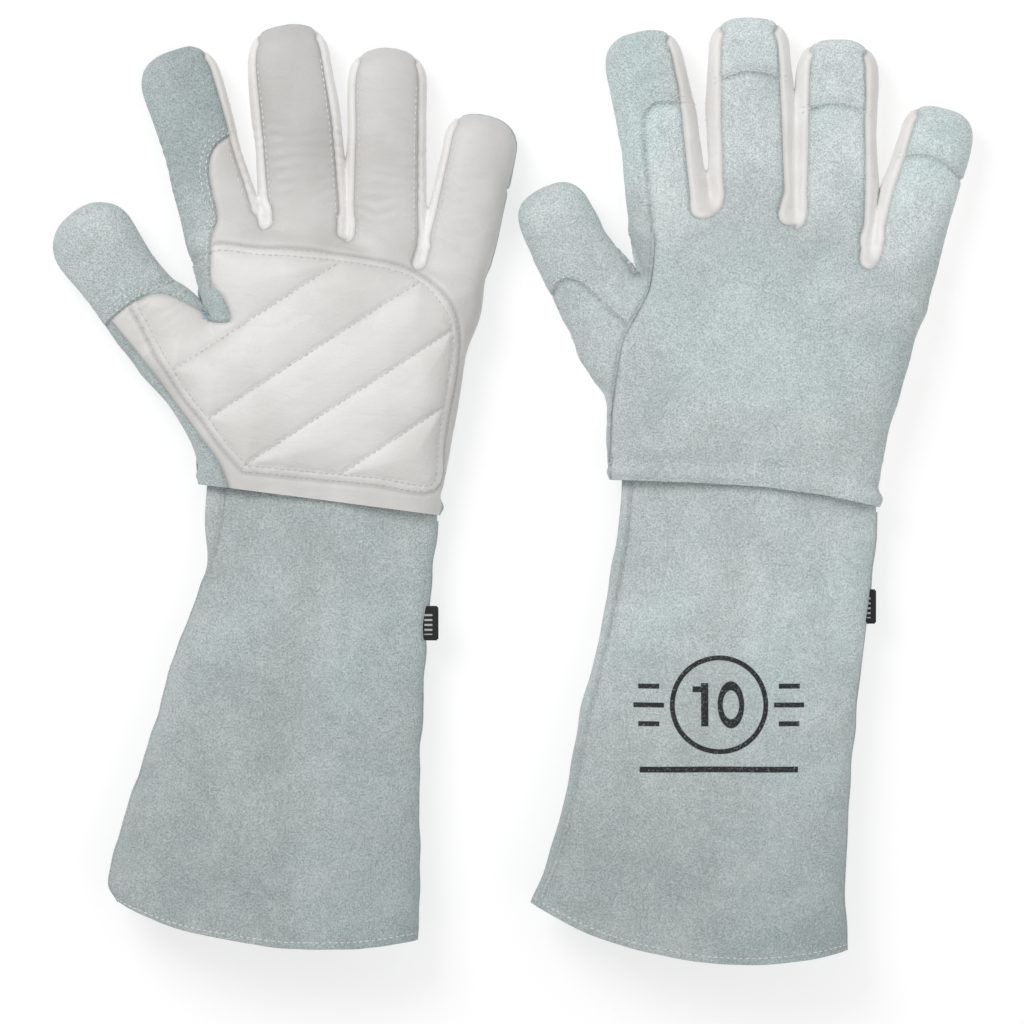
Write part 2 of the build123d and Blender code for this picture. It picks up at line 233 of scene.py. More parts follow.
def curve_through(points, steps=8):
    """A smooth line through a few chosen points (Catmull-Rom)."""
    p = np.array(points, float)
    ends = np.vstack([2 * p[0] - p[1], p, 2 * p[-1] - p[-2]])
    t = np.linspace(0, 1, steps, endpoint=False)[:, None]
    out = []
    for a, b, c, d in zip(ends, ends[1:], ends[2:], ends[3:]):
        out.append(0.5 * (2 * b + (c - a) * t + (2 * a - 5 * b + 4 * c - d) * t ** 2
                          + (3 * b - a - 3 * c + d) * t ** 3))
    out.append(p[-1:])
    return np.vstack(out)


def line_distance(points, line):
    """Distance in plan from each point to a line."""
    best = np.full(len(points), 1e9)
    for a, b in zip(line, line[1:]):
        ab = b - a
        t = np.clip(((points - a) @ ab) / max(ab @ ab, 1e-9), 0, 1)
        best = np.minimum(best, np.hypot(*(points - a - t[:, None] * ab).T))
    return best


def inside_outline(points, outline):
    """Whether each point is inside a closed outline."""
    x, y = points.T
    result = np.zeros(len(points), bool)
    for (x0, y0), (x1, y1) in zip(outline, np.roll(outline, -1, axis=0)):
        crosses = (y0 > y) != (y1 > y)
        with np.errstate(divide="ignore", invalid="ignore"):
            result ^= crosses & (x < (x1 - x0) * (y - y0) / (y1 - y0) + x0)
    return result


def outline_depth(points, outline):
    """Signed distance in plan, positive inside."""
    closed = np.vstack([outline, outline[:1]])
    distance = line_distance(points, closed)
    return np.where(inside_outline(points, outline), distance, -distance)


def smooth_noise(points, size, seed):
    """A soft random field: a few waves of about one size, in fixed random directions."""
    rng = np.random.default_rng(seed)
    value = np.zeros(len(points))
    waves = 9
    for _ in range(waves):
        direction = rng.normal(size=points.shape[1])
        direction /= np.linalg.norm(direction)
        length = size * rng.uniform(0.7, 1.6)
        value += np.sin(points @ direction * (2 * math.pi / length) + rng.uniform(0, 2 * math.pi))
    return value / math.sqrt(waves)


class Digit:
    """One finger or thumb of a glove, in plan and in depth."""

    def __init__(self, side, name, origin):
        joint = JOINTS[f"{side}_{name}_bend"]
        self.name = name
        self.length, widths, self.drift = GLOVES[side]["digits"][name]
        self.base = np.array(joint["pos_m"][:2]) / MM - origin
        axis = np.array(joint["axis"][:2]) * (1 if joint["axis"][0] > 0 else -1)
        self.across = axis / np.linalg.norm(axis)
        self.along = np.array([-self.across[1], self.across[0]])
        self.depth = THUMB_DEPTH if name == "thumb" else FINGER_DEPTH
        self.widths = widths
        self.tip_run = 0.92 * widths[2]

    def plan(self, points):
        """Across and along this digit."""
        offset = points - self.base
        v = offset @ self.along
        u = offset @ self.across - self.middle(v)
        return u, v

    def place(self, line):
        """A line in this digit's frame, in the glove's."""
        line = np.array(line, float)
        u = line[:, 0] + self.middle(line[:, 1])
        return self.base + u[:, None] * self.across + line[:, 1:] * self.along

    def middle(self, v):
        """How far across the digit's middle line lies."""
        return np.interp(v, (0, self.length / 2, self.length - self.tip_run), self.drift)

    def half_width(self, v):
        root, middle, tip = (width + 0.8 for width in self.widths)
        at = (-34, 0, self.length / 2, self.length - self.tip_run)
        return np.interp(v, at, (root * 0.62, root, middle, tip))

    def round(self, u, v):
        """0 on the middle line, 1 on the outline, growing outwards; the tip is blunt."""
        blunt = 2.5
        side = np.abs(u) / self.half_width(v)
        end = np.maximum(0, (v - self.length + self.tip_run) / self.tip_run)
        return (side ** blunt + end ** blunt) ** (1 / blunt)

    def half_depth(self, v):
        return self.depth / 2 * (1 - 0.10 * span(self.length * 0.5, self.length, v))


def closed_mesh(field, low, step):
    """A closed mesh where a field on a grid changes sign (one corner a cell, one quad an edge)."""
    inside = field < 0
    shape = np.array(field.shape) - 1
    total = np.zeros(tuple(shape) + (3,))
    count = np.zeros(tuple(shape))
    base = np.stack(np.meshgrid(*[np.arange(n) for n in field.shape], indexing="ij"), -1).astype(float)
    for axis in range(3):
        first = [slice(None)] * 3
        second = [slice(None)] * 3
        first[axis] = slice(0, -1)
        second[axis] = slice(1, None)
        f0, f1 = field[tuple(first)], field[tuple(second)]
        crossing = (f0 < 0) != (f1 < 0)
        t = np.where(crossing, f0 / np.where(crossing, f0 - f1, 1), 0)
        point = base[tuple(first)].copy()
        point[..., axis] += t
        point *= crossing[..., None]
        others = [a for a in range(3) if a != axis]
        for i in (0, 1):
            for j in (0, 1):
                cut = [slice(None)] * 3
                for a, k in zip(others, (i, j)):
                    cut[a] = slice(k, shape[a] + k)
                total += point[tuple(cut)]
                count += crossing[tuple(cut)]
    used = count > 0
    index = np.full(tuple(shape), -1)
    index[used] = np.arange(used.sum())
    verts = total[used] / count[used][:, None] * step + low
    quads = []
    for axis in range(3):
        first = [slice(1, -1)] * 3
        second = [slice(1, -1)] * 3
        first[axis] = slice(0, -1)
        second[axis] = slice(1, None)
        i0, i1 = inside[tuple(first)], inside[tuple(second)]
        b, c = [(1, 2), (2, 0), (0, 1)][axis]
        where = np.argwhere(i0 != i1)
        where[:, b] += 1
        where[:, c] += 1
        flip = i0[i0 != i1]
        corners = []
        for db, dc in ((-1, -1), (0, -1), (0, 0), (-1, 0)):
            cell = where.copy()
            cell[:, b] += db
            cell[:, c] += dc
            corners.append(index[cell[:, 0], cell[:, 1], cell[:, 2]])
        quad = np.stack(corners, 1)
        quad[~flip] = quad[~flip][:, ::-1]
        quads.append(quad)
    return verts, np.vstack(quads)


def neighbours_mean(verts, tris):
    """For every corner, the mean of the corners that it shares an edge with."""
    total = np.zeros_like(verts)
    count = np.zeros(len(verts))
    for a, b in ((0, 1), (1, 2), (2, 0), (1, 0), (2, 1), (0, 2)):
        np.add.at(total, tris[:, a], verts[tris[:, b]])
        np.add.at(count, tris[:, a], 1)
    return total / count[:, None]


def corner_normals(verts, tris):
    """Unit normal at each corner, by area."""
    a, b, c = (verts[tris[:, i]] for i in range(3))
    face = np.cross(b - a, c - a)
    total = np.zeros_like(verts)
    for i in range(3):
        np.add.at(total, tris[:, i], face)
    return total / np.maximum(np.linalg.norm(total, axis=1), 1e-12)[:, None]


def cut_along(verts, tris, value, where):
    """Split the triangles where a value on the corners passes zero, so that its zero line is an edge line.
    An edge is cut only if both its corners are in where."""
    value = np.where(np.abs(value) < 0.05, 0.0, value)
    edges = np.sort(np.vstack([tris[:, [0, 1]], tris[:, [1, 2]], tris[:, [2, 0]]]), axis=1)
    unique, inverse = np.unique(edges, axis=0, return_inverse=True)
    first, second = unique.T
    crossed = (value[first] * value[second] < 0) & where[first] & where[second]
    a, b = unique[crossed].T
    share = (value[a] / (value[a] - value[b]))[:, None]
    added = verts[a] + (verts[b] - verts[a]) * share
    middle = np.full(len(unique), -1)
    middle[crossed] = len(verts) + np.arange(crossed.sum())
    middle = middle[inverse.reshape(-1)].reshape(3, -1).T
    hits = (middle >= 0).sum(1)
    out = [tris[hits == 0]]
    for i in range(3):
        j, k = (i + 1) % 3, (i + 2) % 3
        one = (hits == 1) & (middle[:, i] >= 0)
        m, tri = middle[one, i], tris[one]
        out += [np.stack([tri[:, i], m, tri[:, k]], 1), np.stack([m, tri[:, j], tri[:, k]], 1)]
        two = (hits == 2) & (middle[:, i] >= 0) & (middle[:, k] >= 0)
        m, n, tri = middle[two, i], middle[two, k], tris[two]
        out += [np.stack([tri[:, i], m, n], 1), np.stack([m, tri[:, j], tri[:, k]], 1),
                np.stack([m, tri[:, k], n], 1)]
    return np.vstack([verts, added]), np.vstack(out)


class Shell:
    """The hand and digits of one glove as one skin, before it is cut into panels."""

    EDGE_ROUND = 22.0
    PUFF = 2.25

    def __init__(self, side):
        self.side = side
        spec = GLOVES[side]
        wrist = JOINTS[f"{side}_wrist_bend"]
        self.origin = np.array(wrist["pos_m"][:2]) / MM
        self.back_up = spec["back_up"]
        self.digits = {name: Digit(side, name, self.origin) for name in DIGITS}
        self.palm = curve_through(spec["palm"] + spec["palm"][:1], 4)[:-1]
        self.seams()
        self.verts, self.tris = self.skin()

    def seams(self):
        """Every seam line of the hand, in the glove's frame."""
        spec = GLOVES[self.side]
        index, thumb = self.digits["index"], self.digits["thumb"]
        wide = -spec["palm"][2][0] / 53.0
        saddle = np.vstack([thumb.place(SADDLE_ON_THUMB), index.place(SADDLE_ON_INDEX)])
        self.saddle = curve_through(saddle, 6)
        wrist_edge = np.array([spec["palm"][2][0] - 0.6, 3.0])
        welt = np.vstack([np.array(WELT_FROM_WRIST) + wrist_edge, index.place(WELT_ON_INDEX)])
        self.welt = curve_through(welt, 6)
        self.index_cap = curve_through(index.place(WELT_ON_INDEX[-1:] + CAP_ON_INDEX), 6)
        self.thumb_patch = curve_through(thumb.place(PATCH_ON_THUMB), 6)
        edge = np.array(PATCH_EDGE)
        wrap = np.array(WRAP_EDGE)
        if self.side == "right":
            edge, wrap = self.refit(edge), self.refit(wrap)
        self.patch_edge = curve_through(np.vstack([edge, edge[:1]]), 5)[:-1]
        self.wrap = curve_through(wrap, 5)
        self.areas = {
            "saddle": np.vstack([self.saddle, self.saddle[-1:] + [0, 70], self.saddle[:1] + [-70, 80]]),
            "outer": np.vstack([self.welt, self.index_cap[1:], self.index_cap[-1:] + [0, 60], [[-220, 260]],
                                [[-220, -60]]]),
            "thumb_patch": np.vstack([self.thumb_patch, thumb.place(((60, -20), (60, 130), (-60, 130)))]),
            "patch": self.patch_edge,
            "wrap": np.vstack([self.wrap, self.wrap[-1:] + [-60, 60], [[-160, -60]]]),
        }
        self.wrist = np.array(spec["wrist"])
        self.webs = np.array(spec["webs"])

    @staticmethod
    def refit(line):
        """The left palm's line carried over to the right glove, which is wider with its thumb less spread."""
        x, y = line.T
        wide = x * np.where(x > 0, 1.13, 1.04)
        low = y - 0.08 * np.maximum(x, 0) * span(20, 100, y)
        return np.stack([wide, low], 1)

    def area(self, name, verts):
        """Signed distance to an area's edge in plan, positive inside."""
        return outline_depth(verts[:, :2], self.areas[name])

    def above_wrist(self, verts):
        return verts[:, 1] - np.interp(verts[:, 0], *self.wrist.T)

    def from_webs(self, verts):
        """Distance in plan outside the U of side strip at the nearest crotch."""
        up = (verts[:, 2] - PALM_DEPTH / 2) * self.back_up
        reach = WEB_REACH * (0.62 + 0.38 * span(-6, 6, up))
        return np.min([line_distance(verts[:, :2], web) for web in self.webs], axis=0) - reach

    def strips(self, here, verts):
        """Less than 0 on the side strips and on the U that joins two of them at a crotch."""
        strip = here.strip + 9.0 * (1 - span(-4, 3, here.v))
        web = self.from_webs(verts)
        blend = STRIP_BLEND
        k = np.clip(0.5 + 0.5 * (strip - web) / blend, 0, 1)
        return strip * (1 - k) + web * k - blend * k * (1 - k)

    @staticmethod
    def palm_half(y):
        return PALM_DEPTH / 2 - 1.5 * (1 - span(0, 50, y))

    def field(self, plan, heights):
        """Less than 0 inside the filled glove, in about millimetres, on every plan point and height."""
        depth_in = outline_depth(plan, self.palm)
        rise = np.maximum(0, (self.EDGE_ROUND - depth_in) / self.EDGE_ROUND)
        half = self.palm_half(plan[:, 1])[:, None]
        z = np.abs(heights[None, :] - half) / half
        p = self.PUFF
        hand = ((rise[:, None] ** p + z ** p) ** (1 / p) - 1) * half
        digits = np.full(hand.shape, 1e3)
        for digit in self.digits.values():
            u, v = digit.plan(plan)
            h = digit.half_depth(v)
            ring = digit.round(u, v)
            z = np.abs(heights[None, :] - h[:, None]) / h[:, None]
            one = ((ring[:, None] ** p + z ** p) ** (1 / p) - 1) * np.minimum(h, digit.widths[1])[:, None]
            one = np.maximum(one, (-34.0 - v)[:, None])
            digits = np.minimum(digits, one)
        blend = CROTCH_BLEND
        k = np.clip(0.5 + 0.5 * (digits - hand) / blend, 0, 1)
        return digits * (1 - k) + hand * k - blend * k * (1 - k)

    def skin(self):
        """The uncut skin of the hand, flat where it rests."""
        low = np.array([self.palm[:, 0].min() - 75, -20.0, -3.0])
        high = np.array([self.palm[:, 0].max() + 35, 216.0, 34.0])
        axes = [np.arange(low[i], high[i], SKIN_STEP) for i in range(3)]
        x, y = np.meshgrid(axes[0], axes[1], indexing="ij")
        plan = np.stack([x.ravel(), y.ravel()], 1)
        field = self.field(plan, axes[2]).reshape([len(axis) for axis in axes])
        field[:, 0, :] = 9.0
        verts, quads = closed_mesh(field, low, SKIN_STEP)
        tris = np.vstack([quads[:, [0, 1, 2]], quads[:, [0, 2, 3]]])
        for _ in range(5):
            verts = verts + 0.5 * (neighbours_mean(verts, tris) - verts)
        return verts, tris

    def lie(self, verts):
        """Where each point lies: its digit, across and along that, and its signed height to the back."""
        plan = verts[:, :2]
        digits = list(self.digits.values())
        read = [digit.plan(plan) for digit in digits]
        rings = np.array([np.where(v > -30, digit.round(u, v), 9.0) for digit, (u, v) in zip(digits, read)])
        owner = rings.argmin(0)
        pick = (owner, np.arange(len(verts)))
        here = Lie()
        here.owner = owner
        here.ring = rings[pick]
        here.u = np.array([u for u, _ in read])[pick]
        here.v = np.array([v for _, v in read])[pick]
        here.share = here.v / np.array([digit.length for digit in digits])[owner]
        here.half = np.array([digit.half_width(here.v) for digit in digits])[pick]
        starts = np.array([DIGIT_START.get(digit.name, 0.0) for digit in digits])
        here.start = starts[owner]
        here.on_digit = (here.v > here.start) & (here.ring < 1.3)
        depth = np.array([digit.half_depth(here.v) for digit in digits])[pick]
        palm = self.palm_half(plan[:, 1])
        near = span(-22, 6, here.v) * (1 - span(1.1, 1.5, here.ring))
        middle = palm + (depth - palm) * near
        here.w = (verts[:, 2] - middle) * self.back_up
        angle = np.arctan2(np.abs(here.w) / depth, np.abs(here.u) / here.half)
        length = np.array([digit.length for digit in digits])[owner]
        taper = 1 - span(length - 7, length - 1, here.v)
        wide = np.where(here.w > 0, STRIP_ANGLE, PALM_STRIP_ANGLE)
        wide = wide + np.where((owner == 0) & (here.w > 0), 0.2 * (1 - span(10, 60, here.v)), 0)
        here.strip = 12.0 * (angle - wide * taper)
        sided = np.zeros(len(verts), bool)
        for i, digit in enumerate(digits):
            for sign in STRIP_SIDES[digit.name]:
                sided |= (owner == i) & (here.u * sign > 0)
        here.strip = np.where(sided & (here.v > -5), here.strip, 9.0)
        drops = np.array([CAP_DROP.get(digit.name, -50.0) for digit in digits])[owner]
        here.cap = here.v - (length - drops - 5.5 * (here.u / here.half) ** 2)
        return here

    def cut(self):
        """Cut the skin along every seam and hinge line, and drop what is below the wrist."""
        verts, tris = self.verts, self.tris

        def cut(value, where):
            return cut_along(verts, tris, value, where)

        value = self.above_wrist(verts)
        verts, tris = cut(value, np.ones(len(verts), bool))
        keep = self.above_wrist(verts[tris].mean(1)) > 0
        tris = tris[keep]
        here = self.lie(verts)
        verts, tris = cut(here.w, np.ones(len(verts), bool))
        here = self.lie(verts)
        verts, tris = cut(here.v - here.start, (np.abs(here.v - here.start) < 4) & (here.ring < 1.35))
        here = self.lie(verts)
        verts, tris = cut(self.strips(here, verts), (here.v > -14) & (here.ring < 1.6))
        here = self.lie(verts)
        verts, tris = cut(here.v - WEB_TOP, (np.abs(here.v - WEB_TOP) < 3) & (self.from_webs(verts) < 1.5))
        here = self.lie(verts)
        verts, tris = cut(here.cap, (here.w > -0.3) & (np.abs(here.cap) < 5))
        for name, side in (("saddle", -1), ("patch", -1), ("wrap", -1), ("outer", 1), ("thumb_patch", 1)):
            here = self.lie(verts)
            value = self.area(name, verts)
            verts, tris = cut(value, (here.w * side > -0.3) & (np.abs(value) < 5))
        used, tris = np.unique(tris, return_inverse=True)
        self.verts, self.tris = verts[used], tris.reshape(-1, 3)

    def label(self):
        """Name the panel and the seam group of every triangle."""
        middle = self.verts[self.tris].mean(1)
        here = self.lie(middle)
        back = here.w > 0
        on = here.on_digit
        names = list(self.digits)
        is_index, is_thumb = (here.owner == names.index(n) for n in ("index", "thumb"))
        saddle = ~back & (self.area("saddle", middle) > 0)
        saddle &= is_index | is_thumb | ~on
        saddle &= ~(on & ~is_index & ~is_thumb)
        patch = ~back & (self.area("patch", middle) > 0)
        wrap = ~back & (self.area("wrap", middle) > 0) & ~saddle
        outer = back & (self.area("outer", middle) > 0) & (is_index | is_thumb | ~on)
        tip = back & (self.area("thumb_patch", middle) > 0)
        strips = (self.strips(here, middle) < 0) & ~is_thumb
        web = strips & (~on | (here.v < WEB_TOP)) & (self.from_webs(middle) < 6.0)
        panel = np.where(back, "back_panel", "palm_panel").astype("<U24")
        group = np.where(back, "back", "palm").astype("<U24")

        def name(where, new_panel, new_group=None):
            panel[where] = new_panel
            if new_group:
                group[where] = new_group

        name(patch, "palm_patch", "patch")
        name(wrap, "back_panel", "thumb")
        name(saddle, "back_panel", "saddle")
        name(outer & ~tip, "back_panel", "thumb")
        name(outer & tip, "back_panel", "saddle")
        name(outer & is_index & (here.v > -26) & (here.ring < 1.1), "back_panel", "saddle")
        for digit in FINGERS:
            mine = on & (here.owner == names.index(digit))
            name(mine & back, f"{digit}_back")
            name(mine & ~back, f"{digit}_front", "palm")
            name(mine & back & (here.cap > 0), f"{digit}_cap", f"{digit}_cap")
            pair = "s" if len(STRIP_SIDES[digit]) > 1 else ""
            if digit == "index":
                name(mine & (saddle | outer), "index_cap", "saddle")
            name(mine & strips, f"{digit}_fourchette{pair}", "strip")
        mine = on & is_thumb
        name(mine & ~back, "thumb_front", "palm")
        name(mine & patch, "thumb_front", "patch")
        name(mine & (back | wrap), "thumb_back", "thumb")
        name(mine & (saddle | (back & tip)), "thumb_tip_patch", "saddle")
        name(web, "finger_webs", "strip")
        self.panel, self.group = panel, group

    def tone(self, panel):
        """Painted light and shade: how pale each corner's leather is painted, next to the material's own
        colour.
        """
        here = self.lie(self.flat)
        body = body_of_panel(panel)
        painted_tones = PAINTED_LIGHT_TONES[self.side]
        white = panel.endswith(WHITE_PANELS)
        tone = np.full(len(self.flat), painted_tones.get(panel, painted_tones.get(body, 1.0)))
        hand = painted_tones.get("palm_panel", 1.0) if white else painted_tones["hand"]
        if body != "hand" and not panel.endswith(EVEN_PAINTED_TONES):
            tone = hand + (tone - hand) * span(0, 34, here.v)
        outer = (here.w > 0) & (self.area("outer", self.flat) > 0) & (here.owner != DIGITS.index("thumb"))
        # Painted shade on the suede that wraps down the index finger's thumb side.
        return np.where(outer & (here.v > -40) & (panel in ("index_cap", "back_panel")), tone * 0.86, tone)

    def seam_points(self):
        """The corners on an edge between two seam groups, and the groups each corner touches."""
        codes = np.unique(self.group, return_inverse=True)[1]
        edges = np.sort(np.vstack([self.tris[:, [0, 1]], self.tris[:, [1, 2]], self.tris[:, [2, 0]]]), axis=1)
        owner = np.tile(codes, 3)
        key = edges[:, 0].astype(np.int64) * len(self.verts) + edges[:, 1]
        order = np.argsort(key, kind="stable")
        key, owner, edges = key[order], owner[order], edges[order]
        same = key[1:] == key[:-1]
        differs = same & (owner[1:] != owner[:-1])
        return np.unique(edges[1:][differs])

    def rows(self):
        """Every stitched row: points in plan, 1 for the back or -1 for the palm, and the thread's shade."""
        rows = []

        def row(line, side, shade, kind="plain"):
            rows.append((np.asarray(line, float), side, shade, kind))

        for shift in (1.4, 3.9):
            line = even(beside(self.saddle, shift), 0.8)
            thumb_u, thumb_v = self.digits["thumb"].plan(line)
            index_v = self.digits["index"].plan(line)[1]
            row(line[((thumb_u < 4) & (thumb_v > 15) & (index_v < 0)) | (index_v > -14)], -1, 0.85)
            row(beside(self.index_cap, shift), 1, 0.8)
            line = even(beside(self.thumb_patch, shift), 0.8)
            row(line[outline_depth(line, self.areas["outer"]) > 1.0], 1, 0.8)
        closed = np.vstack([self.patch_edge, self.patch_edge[:1]])
        for shift in (-0.9, -3.6):
            row(beside(closed, shift), -1, 0.5, "pad edge")
        across = np.array([math.cos(QUILT_ANGLE), math.sin(QUILT_ANGLE)])
        normal = np.array([-across[1], across[0]])
        reach = np.arange(-140, 140, 0.7)[:, None]
        for offset in QUILT_OFFSETS:
            line = normal * offset + across * reach
            line = line[outline_depth(line, self.patch_edge) > 3.9]
            row(line, -1, 0.55, "quilt")
        for name, digit in self.digits.items():
            if name in CAP_DROP:
                u = np.linspace(-0.93, 0.93, 40)
                edge = digit.length - CAP_DROP[name] - 5.5 * u ** 2
                for shift in (1.3, 3.5):
                    half = digit.half_width(edge)
                    row(digit.place(np.stack([u * half * 0.86, edge + shift], 1)), 1, 0.8)
            for sign in STRIP_SIDES[name]:
                v = np.linspace(3.0, digit.length - 17.0, 60)
                inset = 5.4 - 0.8 * span(digit.length - 45, digit.length - 15, v)
                u = sign * (digit.half_width(v) - inset)
                line = digit.place(np.stack([u, v], 1))
                if name == "index":
                    line = line[outline_depth(line, self.areas["saddle"]) < -1]
                row(line, -1, 0.72, "flush")
        return rows

    def project(self, tree, line, side):
        """A plan line on the skin: points and normals."""
        up = side * self.back_up
        points, normals = [], []
        for x, y in line:
            hit, normal, _, _ = tree.ray_cast(Vector((x, y, 70.0 if up > 0 else -40.0)), Vector((0, 0, -up)))
            if hit is not None:
                points.append(hit)
                normals.append(normal)
        return np.array(points).reshape(-1, 3), np.array(normals).reshape(-1, 3)

    def shape(self):
        """Press the seams in, lift the laps, fill the quilted cells and soften the leather."""
        own = settings()
        seam_press, pad_puff = own.seam_press / MM, own.pad_puff / MM
        verts, tris = self.verts, self.tris
        normals = corner_normals(verts, tris)
        here = self.lie(verts)
        seams = self.seam_points()
        from_seam = nearest(verts, verts[seams])
        tree = BVHTree.FromPolygons(verts.tolist(), tris.tolist())
        rows = [(self.project(tree, even(line, 0.8), side)[0], kind) for line, side, _, kind in self.rows()]
        plain = nearest(verts, np.vstack([p for p, kind in rows if kind == "plain"]))
        edge = nearest(verts, np.vstack([p for p, kind in rows if kind == "pad edge"]))
        quilt = nearest(verts, np.vstack([p for p, kind in rows if kind == "quilt"]))
        grouped = {}
        for name in np.unique(self.group):
            flags = np.zeros(len(verts))
            flags[tris[self.group == name].ravel()] = 1
            grouped[name] = flags > 0
        lapped = np.zeros(len(verts), bool)
        for name, flags in grouped.items():
            lapped |= flags & (name.endswith("cap") | (name == "saddle"))
        away = -seam_press * np.exp(-(from_seam / 1.2) ** 2)
        away += np.where(lapped, 0.7 * span(0.0, 0.9, from_seam) * np.exp(-from_seam / 4.0), 0)
        away -= 0.18 * np.exp(-(plain / 0.8) ** 2)
        away -= 0.32 * np.exp(-(edge / 0.8) ** 2)
        palm_side = here.w < 0
        cells = np.minimum(edge, quilt)
        inside = palm_side & (self.area("patch", verts) > 3.0)
        away += np.where(inside, pad_puff * (1 - np.exp(-cells / 6.5)), 0)
        away -= np.where(palm_side, 0.5 * np.exp(-(quilt / 0.8) ** 2), 0)
        hem = self.above_wrist(verts)
        on_back = span(-6, 3, here.w)
        away += on_back * 1.5 * np.exp(-((hem - 3.4) / 2.6) ** 2)
        away -= on_back * 0.8 * np.exp(-((hem - 8.5) / 2.4) ** 2)
        away += 0.40 * smooth_noise(verts, 34.0, 5 + self.back_up)
        away += 0.16 * smooth_noise(verts, 12.0, 15 + self.back_up)
        creased = span(4, 14, here.v) * (1 - span(0.45, 0.62, here.share))
        crease = np.where(here.on_digit & palm_side, creased, 0)
        ripple = np.sin(here.v * 2 * math.pi / 5.0 + 1.2 * smooth_noise(verts, 18.0, 40))
        away += 0.2 * crease * ripple * np.clip(smooth_noise(verts, 20.0, 50) + 0.35, 0, 1.4)
        moved = verts + normals * away[:, None]
        for _ in range(3):
            mean = neighbours_mean(moved, tris)
            stray = (hem > HEM_KEPT) & (np.linalg.norm(moved - mean, axis=1) > STRAY_CORNER)
            moved[stray] = mean[stray]
        rest = LYING_ROUND
        z = moved[:, 2]
        moved[:, 2] = np.where(z < rest, rest * np.exp((z - rest) / rest), z) - 0.3
        moved[:, 2] = np.maximum(moved[:, 2], 0.0)
        self.flat = verts
        self.verts = moved
        self.normals = corner_normals(moved, tris)
        # Distance to the nearest seam or stitched row, which the materials darken as painted shade.
        self.near_seam = np.minimum(from_seam, np.minimum(plain + 1.1, edge + 1.0))
        self.tree = BVHTree.FromPolygons(moved.tolist(), tris.tolist())


class Lie:
    """What Shell.lie finds out about points."""


def beside(line, shift):
    """A plan line moved to its left."""
    run = np.gradient(line, axis=0)
    run /= np.maximum(np.linalg.norm(run, axis=1), 1e-9)[:, None]
    return line + shift * np.stack([-run[:, 1], run[:, 0]], 1)


def even(line, pitch):
    """A line with its points spread evenly."""
    run = np.concatenate([[0], np.cumsum(np.linalg.norm(np.diff(line, axis=0), axis=1))])
    count = max(int(run[-1] / pitch), 1)
    at = np.linspace(0, run[-1], count + 1)
    return np.stack([np.interp(at, run, line[:, i]) for i in range(line.shape[1])], 1)


def nearest(points, targets):
    """Distance from each point to the nearest target point."""
    tree = KDTree(len(targets))
    for i, target in enumerate(targets):
        tree.insert(target, i)
    tree.balance()
    return np.array([tree.find(point)[2] for point in points])


@functools.lru_cache(maxsize=None)
def hand_shell(side):
    """The hand of one glove, made once."""
    shell = Shell(side)
    shell.cut()
    shell.label()
    shell.shape()
    return shell


